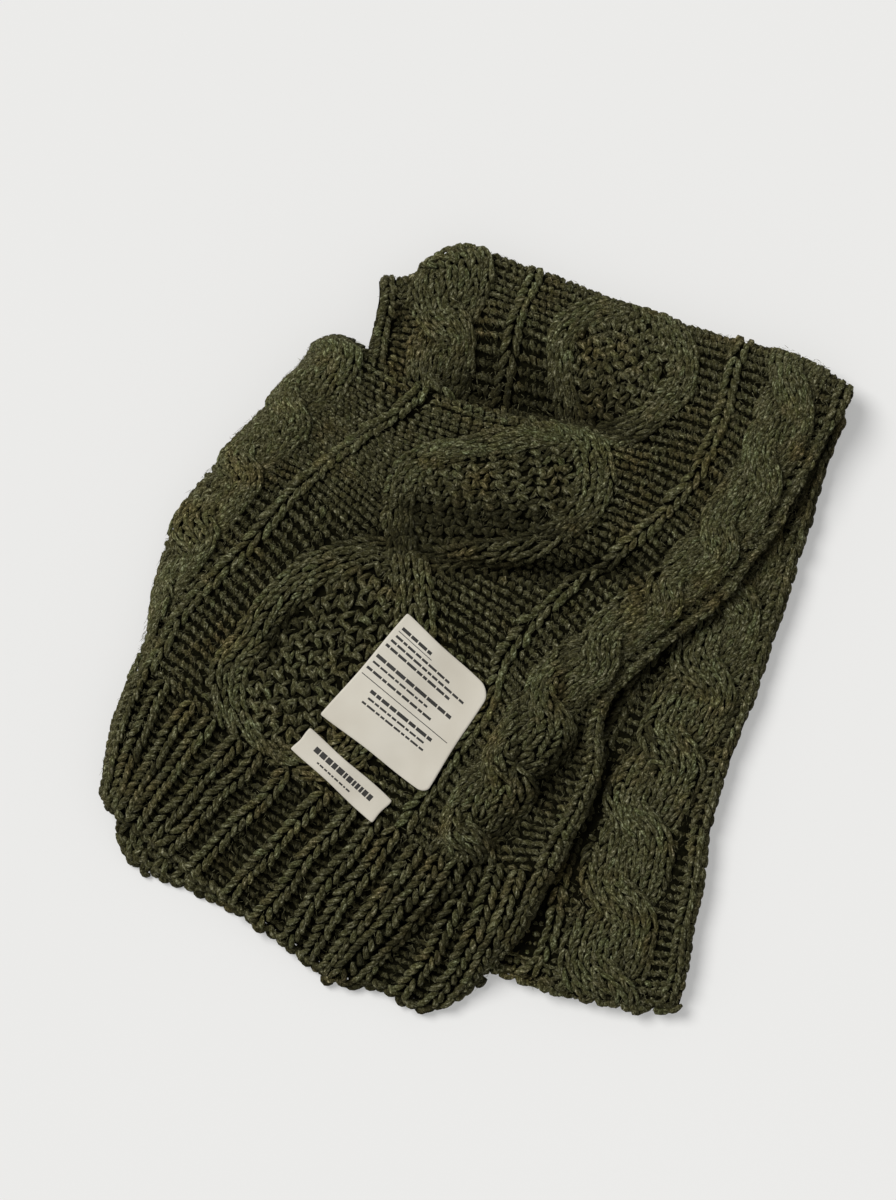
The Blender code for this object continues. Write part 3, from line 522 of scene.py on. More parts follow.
def course_at(cloth, row):
    """The course of a row, running on past both ends."""
    row = np.asarray(row, float)
    inside = np.interp(row, cloth.rows, cloth.courses)
    rate = (cloth.courses[1] - cloth.courses[0]) / (cloth.rows[1] - cloth.rows[0])
    end_rate = (cloth.courses[-1] - cloth.courses[-2]) / (cloth.rows[-1] - cloth.rows[-2])
    return inside + np.minimum(row, 0) * rate + np.maximum(row - cloth.rows[-1], 0) * end_rate


def surface(cloth, across, course):
    """Points and unit normals of a cloth, running on straight past its edges."""
    across, course = paired(across, course)
    low, high = cloth.low, cloth.high
    a = np.clip(across, low[0], high[0])
    c = np.clip(course, low[1], high[1])
    right, left = np.minimum(a + ACROSS_STEP, high[0]), np.maximum(a - ACROSS_STEP, low[0])
    near, far = np.minimum(c + COURSE_STEP, high[1]), np.maximum(c - COURSE_STEP, low[1])
    by_across = (cloth.place(right, c) - cloth.place(left, c)) / (right - left)[..., None]
    by_course = (cloth.place(a, near) - cloth.place(a, far)) / (near - far)[..., None]
    point = cloth.place(a, c) + (across - a)[..., None] * by_across + (course - c)[..., None] * by_course
    return point, unit(np.cross(by_course, by_across))


def spread(cloth, across, row):
    """How many millimetres the cloth really takes up for one across: more where it is stretched."""
    a = np.clip(across, cloth.low[0] + SPREAD_REACH, cloth.high[0] - SPREAD_REACH)
    c = np.clip(course_at(cloth, row), cloth.low[1], cloth.high[1])
    ends = cloth.place(a + SPREAD_REACH, c) - cloth.place(a - SPREAD_REACH, c)
    return np.linalg.norm(ends, axis=-1) / (2 * SPREAD_REACH)


def crown(distance, radius):
    """The height of a round cord at a distance from its middle line, as a share of its radius."""
    return np.sqrt(np.clip(1 - (distance / radius) ** 2, 0, 1))


def arc_along(place, across, course, start):
    """The millimetres of cloth along a line, from one course to each of the others."""
    courses = np.linspace(UPPER_FROM, UNDER[-1].course, ARC_SAMPLES)
    lengths = arc_lengths(place(np.full(courses.shape, float(across)), courses))
    return np.interp(course, courses, lengths) - np.interp(start, courses, lengths)


def motif_side(course):
    """How far the two middle strands lie from the middle line; they cross at each whole course."""
    wave = np.sin(np.pi * (course - np.interp(course, *MOTIF_LATE)))
    narrow = 1 - NEAR_OVAL_NARROW * ease(1.0, 1.25, course) * ease(1.85, 1.65, course)
    return MOTIF_HALF * narrow * wave * (wave**2 + 0.02) ** -0.12


# ---------------------------------------------------------------- meshes


def in_scene(name, data):
    """A new object in the scene."""
    thing = bpy.data.objects.new(name, data)
    bpy.context.scene.collection.objects.link(thing)
    return thing


def mesh_object(name, points, corners, starts, material, slot, yarn=None):
    """A mesh piece that rides on the scarf, from points in millimetres."""
    mesh = bpy.data.meshes.new(name)
    place = (np.asarray(points, float) - (*MIDDLE, 0)) * MM
    mesh.vertices.add(len(place))
    mesh.vertices.foreach_set("co", place.astype(np.float32).ravel())
    mesh.loops.add(len(corners))
    mesh.loops.foreach_set("vertex_index", np.asarray(corners, np.int32))
    mesh.polygons.add(len(starts))
    mesh.polygons.foreach_set("loop_start", np.asarray(starts, np.int32))
    if yarn is not None:
        layer = mesh.attributes.new("yarn", "FLOAT_VECTOR", "CORNER")
        layer.data.foreach_set("vector", yarn.astype(np.float32).ravel())
    mesh.update(calc_edges=True)
    mesh.shade_smooth()
    mesh.materials.append(material)
    thing = in_scene(name, mesh)
    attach(thing, "root")
    return thing


def quad_mesh(name, points, quads, material, slot):
    return mesh_object(name, points, quads.ravel(), np.arange(len(quads)) * 4, material, slot)


def border(rows, columns):
    """Grid indices round the edge of a grid, counter-clockwise seen from the cloth's face."""
    left = [(i, 0) for i in range(rows)]
    near = [(rows, j) for j in range(columns)]
    right = [(i, columns) for i in range(rows, 0, -1)]
    far = [(0, j) for j in range(columns, 0, -1)]
    return left + near + right + far


def closed_grid(name, outer, inner, rim, material, slot):
    """A closed sheet: an outer grid, an inner one, and a rounded rim between them."""
    index = np.arange(outer.shape[0] * outer.shape[1]).reshape(outer.shape[:2])
    loop = np.array(border(outer.shape[0] - 1, outer.shape[1] - 1))
    top = index[loop[:, 0], loop[:, 1]]
    ring = 2 * index.size + np.arange(len(loop))
    after, ring_after = np.roll(top, -1), np.roll(ring, -1)
    face = [index[:-1, :-1], index[1:, :-1], index[1:, 1:], index[:-1, 1:]]
    face = np.stack(face, -1).reshape(-1, 4)
    quads = np.concatenate([
        face,
        face[:, ::-1] + index.size,
        np.stack([after, top, ring, ring_after], -1),
        np.stack([ring_after, ring, top + index.size, after + index.size], -1),
    ])
    points = np.concatenate([outer.reshape(-1, 3), inner.reshape(-1, 3), rim])
    return quad_mesh(name, points, quads, material, slot)


def cloth_sheet(name, cloth, across, course, rise, thickness, bulge):
    """The thin cloth under a stretch's stitches, painted dark as the shade between them. bulge is how far
    each side rounds out.
    """
    base, normal = surface(cloth, across, course)
    outer = base + normal * rise[..., None]
    inner = base - normal * thickness[..., None]
    rows, columns = base.shape[0] - 1, base.shape[1] - 1
    rim = []
    for i, j in border(rows, columns):
        outward = np.zeros(3)
        for on_side, side, inward in (
            (i == 0, "far", (1, 0)), (i == rows, "near", (-1, 0)),
            (j == 0, "left", (0, 1)), (j == columns, "right", (0, -1)),
        ):
            if on_side:
                outward += unit(base[i, j] - base[i + inward[0], j + inward[1]]) * bulge[side]
        rim.append(base[i, j] + outward + normal[i, j] * (rise[i, j] - thickness[i, j]) / 2)
    rim = np.array(rim)
    for points, lowest in ((outer, 1.2), (inner, 0.25), (rim, 0.7)):
        points[..., 2] = np.maximum(points[..., 2], lowest)
    return closed_grid(name, outer, inner, rim, PAINTED_SHADE_BACKING, "knit")


def wander(across, row):
    """Hand knitting's unevenness: neighbouring stitches drift together by a millimetre or so."""
    along = row * ROW
    aside = np.sin(across / 11.0 + 1.7 * np.sin(along / 29.0))
    aside = aside * np.sin(along / 15.0 + np.sin(across / 21.0))
    ahead = np.sin(along / 12.0 + 1.5 * np.sin(across / 33.0))
    ahead = ahead * np.sin(across / 16.0 + 2 + np.sin(along / 25.0))
    return across + 1.1 * aside, row + 1.0 * ahead / ROW


def tubes(name, cloth, families):
    """One mesh of yarn: each line of points of each family becomes a tapered tube."""
    parts = zip(*(f for f in families if len(f.across)))
    across, row, lift, radius = (np.concatenate(part) for part in parts)
    across, row = wander(across, row)
    course = course_at(cloth, row)
    centre, normal = surface(cloth, across, course)
    centre = centre + normal * lift[..., None]
    middle = across.shape[1] // 2
    # Painted shade: stitches lying low and places in creases are darker, high stitches lighter as a painted
    # highlight.
    sunk = np.clip(SUNK_SHADE * (SUNK_FROM - lift[:, middle]), -0.22, 0.5)
    hollow = np.clip(cloth.hollow(across[:, middle], course[:, middle]) + sunk, -0.6, 1)
    return tube_mesh(name, centre, normal, radius, YARN, 5, hollow)


def tube_faces(stations, sides):
    """A closed tube's side quads, all its faces' corners, and where each face's corners start."""
    spot = np.arange(stations * sides).reshape(stations, sides)
    after = np.roll(spot, -1, 1)
    quads = np.stack([spot[:-1], after[:-1], after[1:], spot[1:]], -1).reshape(-1, 4)
    corners = np.concatenate([quads.ravel(), spot[0][::-1], spot[-1]])
    starts = np.append(np.arange(len(quads) + 1) * 4, len(quads) * 4 + sides)
    return quads, corners, starts


def tube_mesh(name, centre, normal, radius, material, sides, hollow=0.0):
    """A tube for each line of centres, and each corner's place along its yarn and round it, and each tube's
    tone with its painted shade.
    """
    count, stations = radius.shape
    centre[..., 2] = np.maximum(centre[..., 2], radius + FLOOR_GAP)
    along = unit(np.gradient(centre, axis=1))
    beside = unit(np.cross(along, normal))
    above = np.cross(beside, along)
    turn = 2 * np.pi * np.arange(sides) / sides - np.pi / 2
    ring = np.cos(turn)[:, None] * beside[..., None, :]
    ring = ring + FLATTENED * np.sin(turn)[:, None] * above[..., None, :]
    points = centre[..., None, :] + radius[..., None, None] * ring
    side_quads, corners, starts = tube_faces(stations, sides)
    tube = np.arange(count)[:, None]
    all_corners = (corners[None, :] + stations * sides * tube).ravel()
    all_starts = (starts[None, :] + len(corners) * tube).ravel()
    # How far along its yarn and how far round each corner is, with the seam underneath.
    step, turns = np.divmod(corners, sides)
    turns = turns.astype(float)
    quads = np.arange(len(side_quads) * 4).reshape(-1, 4)
    last_column = side_quads[:, 0] % sides == sides - 1
    turns[quads[last_column][:, 1:3].ravel()] = sides
    spans = np.linalg.norm(np.diff(centre, axis=1), axis=2)
    run = np.concatenate([np.zeros((count, 1)), np.cumsum(spans, 1)], 1)
    # Each tube's tone: random, darkened by its painted shade and lightened by its painted highlight.
    tone_and_shade = np.clip(rng.normal(0.54, 0.14, count) - 0.72 * hollow, 0, 1)
    run = run[:, step] + (rng.random(count) * 40)[:, None]
    yarn = np.stack(np.broadcast_arrays(run, turns / sides, tone_and_shade[:, None]), -1)
    points = points.reshape(-1, 3)
    return mesh_object(name, points, all_corners, all_starts, material, "knit", yarn.reshape(-1, 3))


# ---------------------------------------------------------------- stitches


def grid_of(wales, rows):
    """Each wale with each row, flat: their centres as two arrays."""
    wale, row = np.meshgrid(np.asarray(wales, float), np.asarray(rows, float))
    return wale.ravel(), row.ravel()


def wale_grid(low, high, count, rows):
    """A band of evenly spaced wales: each stitch's place and row, their pitch, and 1 in odd rows."""
    pitch = (high - low) / count
    q, row = grid_of(low + pitch * (np.arange(count) + 0.5), rows)
    return q, row, pitch, np.round(row - rows[0]) % 2


def uneven(count, amount):
    return rng.normal(0, amount, count)[:, None]


def per_stitch(value, q):
    return np.broadcast_to(value, q.shape)[:, None]


def knit(q, row, width, yarn, lift=0.0, reach=1.30, thin=0.46, mess=1.0):
    """Knit stitches: two legs each, together at the far end and apart towards the hem."""
    width, lift = per_stitch(width, q), per_stitch(lift, q)
    arch = np.sin(np.pi * T**0.9)
    legs = []
    for side in (-1, 1):
        size = 1 + uneven(len(q), 0.10 * mess)
        lean = 0.09 + 0.29 * np.sin(np.pi / 2 * T) ** 1.1
        aside = (uneven(len(q), 0.04) + uneven(len(q), 0.05) * T) * width * mess
        at = q[:, None] + side * width * lean * size + aside
        line = row[:, None] - 0.20 + reach * T + uneven(len(q), 0.10 * mess)
        radius = yarn * (thin + (1 - thin) * arch**0.8) * size
        height = lift + yarn * (1.15 * arch - 0.62) + uneven(len(q), 0.3 * mess)
        legs.append(Yarn(at, line, height, radius))
    return legs


def purl(q, row, width, yarn, lift=0.0, t=BEAD):
    """Purl bumps: small beads, a loop's head over each stitch and the yarn between two stitches."""
    swell = np.sin(np.pi * t)
    width, lift = per_stitch(width, q), per_stitch(lift, q)
    bumps = []
    for shift, at_row, bow, low, plump, long in (
        (0.0, 0.27, -0.30, 0.0, 1.0, 0.80), (0.5, 0.76, 0.26, 0.45, 0.92, 0.76)
    ):
        size = 1 + uneven(len(q), 0.10)
        tilt = (0.26 + uneven(len(q), 0.16)) * (t - 0.5)
        at = q[:, None] + width * (shift + long * (t - 0.5) * size) + uneven(len(q), 0.05) * width
        line = row[:, None] + at_row + bow * swell + uneven(len(q), 0.05) + tilt
        radius = plump * yarn * (0.50 + 0.50 * swell**0.75) * size
        height = lift + yarn * (1.8 * swell - 1.2 - low) + uneven(len(q), 0.30)
        bumps.append(Yarn(at, line, height, radius))
    return bumps


def strand(row_at, across_at, lift_at, wales, pitch, yarn):
    """A cable's strand: wales of knit stitches side by side, laid straight and then moved onto its path."""
    rows = np.linspace(*row_at, STRAND_SAMPLES)
    line = across_at(rows)
    steps = np.hypot(np.diff(line), np.diff(rows) * ROW)
    run = np.concatenate([[0], np.cumsum(steps)]) / ROW
    lean = np.gradient(line, rows) / ROW
    places = (np.arange(wales) - (wales - 1) / 2) * pitch
    q, row = grid_of(places, np.arange(0.2, np.sum(steps) / ROW - 0.6, 0.97))
    row = row + (np.round(q / pitch) % 2) * 0.3 + rng.normal(0, 0.08, len(q))
    moved = []
    for leg in knit(q + rng.normal(0, 0.25, len(q)), row, pitch, yarn, 0.0, 1.36, 0.66):
        row = np.interp(leg.row, run, rows)
        tilt = np.arctan(np.interp(row, rows, lean))
        moved.append(Yarn(
            np.interp(row, rows, line) + leg.across * np.cos(tilt),
            row - leg.across * np.sin(tilt) / ROW,
            leg.lift + lift_at(row, leg.across),
            leg.radius,
        ))
    return moved


def rope_side(phase):
    """How far each of a rope's two strands is from the rope's middle."""
    return ROPE_HALF * np.tanh(2.0 * np.cos(phase)) / np.tanh(2.0)


def beside_rope(place, centre, start, q, course, wide=1.0, lean=0.0):
    """Where the ground shows beside a rope's two strands."""
    side = wide * rope_side(np.pi * arc_along(place, centre, course, start) / ROPE_TURN)
    reach = (ROPE_STRAND - 2.0) * wide
    away = q - centre - lean
    return (np.abs(away - side) > reach) & (np.abs(away + side) > reach)


def rope(cloth, place, centre, start, row_at, wide=1.0, drift=None):
    """A rope cable: two strands that twist round each other."""
    arc_courses = np.linspace(cloth.low[1], cloth.high[1], 400)
    arcs = arc_along(place, centre, arc_courses, start)

    def phase_at(row):
        return np.pi * np.interp(course_at(cloth, row), arc_courses, arcs) / ROPE_TURN

    made = []
    for sign in (-1, 1):
        def across_at(row, sign=sign):
            lean = drift(course_at(cloth, row)) if drift else 0.0
            return centre + lean + sign * wide * rope_side(phase_at(row))

        def lift_at(row, q, sign=sign):
            over = -sign * np.sin(phase_at(row))
            return (ROPE_RISE - 2.4) * crown(q / wide, ROPE_STRAND + 1.5) + 2.9 * over

        made += strand(row_at, across_at, lift_at, 4, 6.0 * wide, 1.85)
    return made


def motif_strands(cloth, row_at):
    """The middle motif's two strands, which cross and part round each oval."""
    made = []
    for sign in (-1, 1):
        def across_at(row, sign=sign):
            return MOTIF_CENTRE + sign * motif_side(course_at(cloth, row))

        def lift_at(row, q, sign=sign):
            course = course_at(cloth, row)
            crossing = np.exp(-((motif_side(course) / 17.0) ** 2))
            over = sign * np.cos(np.pi * course) * crossing
            return (MOTIF_RISE - 1.6) * crown(q, STRAND_RADIUS + 1) + 2.0 * over

        made += strand(row_at, across_at, lift_at, 3, 6.4, 1.9)
    return made


def only(families, keep, press=None):
    """The tubes of each family whose middle point passes a test, pressed down where press says."""
    out = []
    for f in families:
        middle = f.across.shape[1] // 2
        kept = keep(f.across[:, middle], f.row[:, middle])
        f = Yarn(*(part[kept] for part in f))
        out.append(f._replace(lift=f.lift * press(f.across, f.row)) if press else f)
    return out


def column(cloth, places, rows, width, yarn, lift, reach=1.30, thin=0.46, mess=1.0):
    """Columns of knit stitches that keep their real width where the cloth is stretched."""
    q, row = grid_of(places, rows)
    wide = width / np.clip(spread(cloth, q, row), 0.75, 1.9)
    return knit(q, row + rng.normal(0, 0.04, len(q)), wide, yarn, lift, reach, thin, mess)


def edge_chains(cloth, width, rows, left):
    """A chain of stitches along a cloth's edge, and another on the edge itself."""
    tops, rims = [EDGE_COLUMN, width - EDGE_COLUMN], [1.4, width - 1.4]
    if not left:
        tops, rims = tops[1:], rims[1:]
    return column(cloth, tops, rows, 9.5, 2.2, 0.6) + column(cloth, rims, rows + 0.5, 5.0, 2.2, -2.4)


def pattern(cloth, place, row_at, keep, press):
    """The cabled part of the top layer, as lists of yarn by what they are."""
    rows = np.arange(row_at[0], row_at[1] - 0.5, 1.0)
    ropes = list(zip(ROPE_CENTRES, ROPE_TURN_STARTS))
    found = {"ground": [], "moss": [], "ropes": []}

    def add_ground(q, row, pitch, odd, clear):
        q = q + 0.22 * pitch * (odd - 0.5)
        found["ground"] += purl(q[clear], row[clear], pitch, 1.95)

    for low, high, count in GROUND_BANDS:
        q, row, pitch, odd = wale_grid(low, high, count, rows)
        clear = [beside_rope(place, *at, q, course_at(cloth, row + 0.3)) for at in ropes]
        add_ground(q, row, pitch, odd, clear[0] & clear[1])
    field = (MOTIF_CENTRE - MOTIF_FIELD, MOTIF_CENTRE + MOTIF_FIELD)
    q, row, pitch, odd = wale_grid(*field, 19, rows)
    side = np.abs(motif_side(course_at(cloth, row + 0.5)))
    add_ground(q, row, pitch, odd, np.abs(q - MOTIF_CENTRE) > side + 9.0)
    q, row, pitch, odd = wale_grid(*field, 15, rows)
    side = np.abs(motif_side(course_at(cloth, row + 0.5)))
    inside = np.abs(q - MOTIF_CENTRE) < side - 7.5
    even = (np.round((q - q[0]) / pitch) + odd) % 2 == 0
    bumps, flats = inside & even, inside & ~even
    q, row = q + rng.normal(0, 0.5, len(q)), row + rng.normal(0, 0.14, len(q))
    found["moss"] += purl(q[bumps], row[bumps], pitch * 1.2, 2.4, 0.8, T)
    found["moss"] += knit(q[flats], row[flats], pitch * 1.15, 1.9, 0.0, 1.1, 0.6, 1.4)
    for centre, start in ropes:
        found["ropes"] += rope(cloth, place, centre, start, row_at)
    found["motif"] = motif_strands(cloth, row_at)
    found["ridges"] = column(cloth, RIDGE_CENTRES, rows, 11.5, 2.35, RIDGE_RISE - 0.9, 1.36, 0.54)
    found["edges"] = edge_chains(cloth, CUT_WIDTH, rows, True)
    return {name: only(families, keep, press) for name, families in found.items()}


def ribbed(cloth, crests, rows, lift, purl_lift, width=12.8, yarn=2.25):
    """Ribs: raised columns of knit stitches with sunken columns of purl bumps between them."""
    crests = np.asarray(crests, float)
    knits = column(cloth, crests, rows, width, yarn, lift, 1.30, 0.56, 0.6)
    q, row = grid_of((crests[1:] + crests[:-1]) / 2, rows)
    gap = np.repeat(np.diff(crests)[None, :], len(rows), 0).ravel()
    scale = np.clip(spread(cloth, q, row), 0.6, 2.2)
    room = np.maximum(gap * scale - 0.62 * width, 2.5) / scale
    beads = np.clip(np.round(room * scale / 5.2), 1, 3).astype(int)
    purls = []
    for count in (1, 2, 3):
        of_count = beads == count
        wide = room[of_count] / count
        for k in range(count):
            at = q[of_count] + (k - (count - 1) / 2) * wide
            purls += purl(at, row[of_count], wide * 1.08, 1.75, purl_lift)
    return knits, purls


def bound_edge(cloth, width, last_row, start, end, reach):
    """The bound-off edge: chunky loops that lie along the hem and scallop it."""
    places = [start + 3.0]
    while places[-1] < width - end - 2.0:
        scale = float(spread(cloth, np.array([places[-1]]), np.array([last_row - 0.5]))[0])
        places.append(places[-1] + 7.6 / np.clip(scale, 0.7, 2.0))
    stitches = np.array(places)
    count = len(stitches)
    step = np.gradient(stitches)[:, None]
    swell = np.sin(np.pi * T)
    made = []
    for at_row, lift, out, thick in (
        (-0.10, 1.6, 0.30, 2.6), (0.30, -1.2, 0.34, 2.7), (0.05, -3.8, 0.20, 2.3)
    ):
        at = stitches[:, None] + step * (1.25 * (T - 0.5)) + uneven(count, 0.8)
        tilt = (0.10 + uneven(count, 0.25)) * (T - 0.5)
        line = last_row + reach + at_row + out * swell + tilt + uneven(count, 0.12)
        height = lift + 1.2 * swell - 0.8 + uneven(count, 0.6)
        radius = thick * (0.5 + 0.5 * swell**0.7) * (1 + uneven(count, 0.14))
        made.append(Yarn(at, line, height, radius))
    return made


def loose_fibres(name, cloth, count, across_span, row_span, rise_at, keep):
    """Wool's loose fibres: fine closed hairs that stand a little off the stitches."""
    across = rng.uniform(*across_span, count)
    row = rng.uniform(*row_span, count)
    kept = keep(across, row)
    across, row = across[kept], row[kept]
    root, normal = surface(cloth, across, course_at(cloth, row))
    along = unit(surface(cloth, across, course_at(cloth, row + 0.3))[0] - root)
    beside = np.cross(along, normal)
    turn = uneven(len(row), 0.9)
    heading = along * np.cos(turn) + beside * np.sin(turn)
    length = rng.uniform(2.0, 4.6, len(row))[:, None]
    root = root + normal * (rise_at(across, row) + rng.uniform(0.4, 2.2, len(row)))[:, None]
    tip = root + length * heading + normal * rng.uniform(-0.3, 1.3, len(row))[:, None]
    centre = np.stack([root, tip], 1)
    radius = np.array([[0.16, 0.04]]) * rng.uniform(0.7, 1.2, len(row))[:, None]
    return tube_mesh(name, centre, np.repeat(normal[:, None], 2, 1), radius, FIBRES, 3)


# ---------------------------------------------------------------- materials


class Look:
    """A material in the making: its nodes, and where on the object a place is."""

    def __init__(self, name):
        self.material = bpy.data.materials.new(name)
        self.material.use_nodes = True
        self.tree = self.material.node_tree
        self.where = self.node("TexCoord").outputs["Object"]

    def fill(self, made, values):
        """Gives a node's inputs numbers, colours or other nodes' outputs."""
        for key, value in values.items():
            if isinstance(value, bpy.types.NodeSocket):
                self.tree.links.new(value, made.inputs[key])
            else:
                made.inputs[key].default_value = value
        return made

    def node(self, kind, values=None, **settings):
        made = self.tree.nodes.new("ShaderNode" + kind)
        for key, value in settings.items():
            setattr(made, key, value)
        return self.fill(made, values or {})

    def maths(self, operation, *values):
        return self.node("Math", dict(enumerate(values)), operation=operation).outputs[0]

    def scaled(self, value, by, plus=None):
        """A value times a number, with another added where one is given."""
        product = self.maths("MULTIPLY", value, by)
        return product if plus is None else self.maths("ADD", product, plus)

    def noise(self, vector, scale, detail, roughness):
        values = {"Vector": vector, "Scale": scale, "Detail": detail, "Roughness": roughness}
        return self.node("TexNoise", values).outputs["Fac"]

    def ramp(self, value, *stops):
        """The colour at a value's place between stops of (place, colour)."""
        made = self.node("ValToRGB", {0: value})
        elements = made.color_ramp.elements
        while len(elements) < len(stops):
            elements.new(0.5)
        for element, (place, colour) in zip(elements, stops):
            element.position = place
            element.color = (*colour, 1.0)
        return made.outputs[0]

    def mixed(self, share, a, b, blend="MIX"):
        a, b = ((*colour, 1.0) if isinstance(colour, tuple) else colour for colour in (a, b))
        made = self.node("Mix", data_type="RGBA", blend_type=blend)
        return self.fill(made, {0: share, 6: a, 7: b}).outputs[2]

    def finished(self, values, height=None, distance=0.0):
        """The material, with its shader's inputs filled and its surface bumped."""
        if height is not None:
            bump = self.node("Bump", {"Height": height, "Distance": distance})
            values = {**values, "Normal": bump.outputs[0]}
        self.fill(self.tree.nodes["Principled BSDF"], values)
        return self.material


def yarn_material(name, brightness):
    """Heathered olive wool: twisted plies with fine fibres, darker and lighter by the stitch, at random and
    by each stitch's painted shade and painted highlight.
    """
    look = Look(name)
    attribute = look.node("Attribute", attribute_name="yarn")
    along, turn, tone_and_shade = look.node("SeparateXYZ", {0: attribute.outputs["Vector"]}).outputs
    wobble = look.noise(look.where, 300.0, 2.0, 0.5)
    phase = look.scaled(turn, PLIES, look.scaled(along, 1 / PLY_TURN))
    phase = look.maths("ADD", phase, look.scaled(wobble, 1.6))
    ply = look.maths("SINE", look.scaled(phase, 2 * math.pi))
    wrapped = look.scaled(turn, 15.0, look.scaled(along, 0.6))
    yarn_place = look.node(
        "CombineXYZ", {0: look.scaled(along, 0.34), 1: wrapped, 2: look.scaled(tone_and_shade, 60.0)}
    ).outputs[0]
    fibres = look.noise(yarn_place, 0.85, 3.0, 0.75)
    clumps = look.noise(look.where, 420.0, 3.0, 0.75)
    both = look.scaled(fibres, 0.55, look.scaled(clumps, 0.45))
    patches = look.noise(look.where, 34.0, 3.0, 0.6)
    fine = look.noise(look.where, 820.0, 2.0, 0.65)
    colour = look.ramp(both, (0.39, (0.0090, 0.0086, 0.0016)), (0.46, (0.036, 0.035, 0.0135)),
                       (0.53, (0.083, 0.0815, 0.0450)), (0.61, (0.245, 0.238, 0.162)))
    brown = look.ramp(patches, (0.50, BLACK), (0.68, WHITE))
    green = look.ramp(tone_and_shade, (0.55, BLACK), (0.95, WHITE))
    # The tone, with each stitch's painted shade, sets how light the yarn is.
    tone_and_shade_levels = [(place, (level * brightness,) * 3) for place, level in ((0.0, 0.21), (0.5, 1.05), (1.0, 1.50))]
    for shade in (
        look.mixed(brown, WHITE, (1.16, 0.97, 0.78)),
        look.mixed(green, WHITE, (0.90, 1.03, 0.94)),
        look.ramp(fine, (0.37, (0.52, 0.51, 0.46)), (0.50, WHITE), (0.64, (1.56, 1.55, 1.52))),
        # Painted shade in the grooves between the plies.
        look.ramp(ply, (0.0, (0.55, 0.54, 0.48)), (0.45, WHITE)),
        look.ramp(tone_and_shade, *tone_and_shade_levels),
    ):
        colour = look.mixed(1.0, colour, shade, "MULTIPLY")
    height = look.maths("ADD", look.scaled(ply, 0.3), look.scaled(both, 5.0))
    height = look.maths("ADD", height, look.scaled(fine, 1.2))
    return look.finished({
        "Base Color": colour,
        "Roughness": look.scaled(fibres, 0.2, 0.8),
        "Specular IOR Level": 0.08,
        "Sheen Weight": 0.10,
        "Sheen Roughness": 0.5,
        "Sheen Tint": (0.80, 0.74, 0.30, 1.0),
    }, height, 0.0012)


def fibre_material():
    """Loose fibres, paler than the yarn because light passes through them."""
    look = Look("loose_fibres")
    shades = look.noise(look.where, 90.0, 2.0, 0.6)
    return look.finished({
        "Base Color": look.ramp(shades, (0.38, (0.060, 0.058, 0.024)), (0.62, (0.20, 0.19, 0.105))),
        "Roughness": look.scaled(shades, 0.2, 0.7),
        "Specular IOR Level": 0.1,
    }, shades, 0.0001)


def painted_shade_backing_material():
    """What shows between the stitches: the same wool, painted very dark as the shade deep in the knit."""
    look = Look("knit_backing_painted_shade")
    loops = look.noise(look.where, 190.0, 3.0, 0.6)
    fine = look.noise(look.where, 1300.0, 2.0, 0.6)
    return look.finished({
        "Base Color": look.ramp(loops, (0.3, (0.0014, 0.0013, 0.0004)), (0.7, (0.0070, 0.0066, 0.0022))),
        "Roughness": look.scaled(fine, 0.15, 0.85),
        "Specular IOR Level": 0.05,
    }, look.scaled(loops, 2.0, fine), 0.0009)


def tape_material():
    """Off-white woven label tape with a fine weave and a soft sheen."""
    look = Look("label_tape")
    weave_angle = (0, 0, math.radians(43))
    spin = look.node("Mapping", {"Vector": look.where, "Rotation": weave_angle}).outputs[0]
    weave = look.maths("MULTIPLY", *(
        look.node(
            "TexWave", {"Vector": spin, "Scale": 620.0, "Distortion": 0.6}, bands_direction=direction
        ).outputs["Fac"]
        for direction in ("X", "Y")
    ))
    soft = look.noise(look.where, 26.0, 2.0, 0.5)
    colour = look.ramp(soft, (0.3, (0.575, 0.535, 0.455)), (0.7, (0.675, 0.64, 0.56)))
    threads = look.ramp(weave, (0, (0.90, 0.90, 0.89)), (0.6, WHITE))
    return look.finished({
        "Base Color": look.mixed(1.0, colour, threads, "MULTIPLY"),
        "Roughness": look.scaled(weave, 0.2, 0.45),
        "Sheen Weight": 0.15,
    }, look.maths("ADD", weave, soft), 0.00012)


def ink_material():
    look = Look("label_ink")
    worn = look.noise(look.where, 1500.0, 2.0, 0.6)
    return look.finished({
        "Base Color": look.ramp(worn, (0.35, (0.008, 0.0075, 0.007)), (0.75, (0.034, 0.032, 0.028))),
        "Roughness": look.scaled(worn, 0.2, 0.6),
    }, worn, 0.00004)


def floor_material():
    """Pale paper that glows a little from behind, as on a light table: painted light, so shadows on it stay
    soft.
    """
    look = Look("floor")
    soft = look.noise(look.where, 1.5, 2.0, 0.5)
    return look.finished({
        "Base Color": look.ramp(soft, (0.3, (0.480, 0.480, 0.482)), (0.7, (0.486, 0.486, 0.488))),
        "Roughness": 0.95,
        "Specular IOR Level": 0.0,
        "Emission Color": (1.0, 1.0, 0.985, 1.0),
        "Emission Strength": 0.31,
    })


YARN = yarn_material("heather_yarn", 1.47)
PAINTED_SHADE_BACKING = painted_shade_backing_material()
FIBRES = fibre_material()
TAPE = tape_material()
INK = ink_material()


# ---------------------------------------------------------------- the stretches


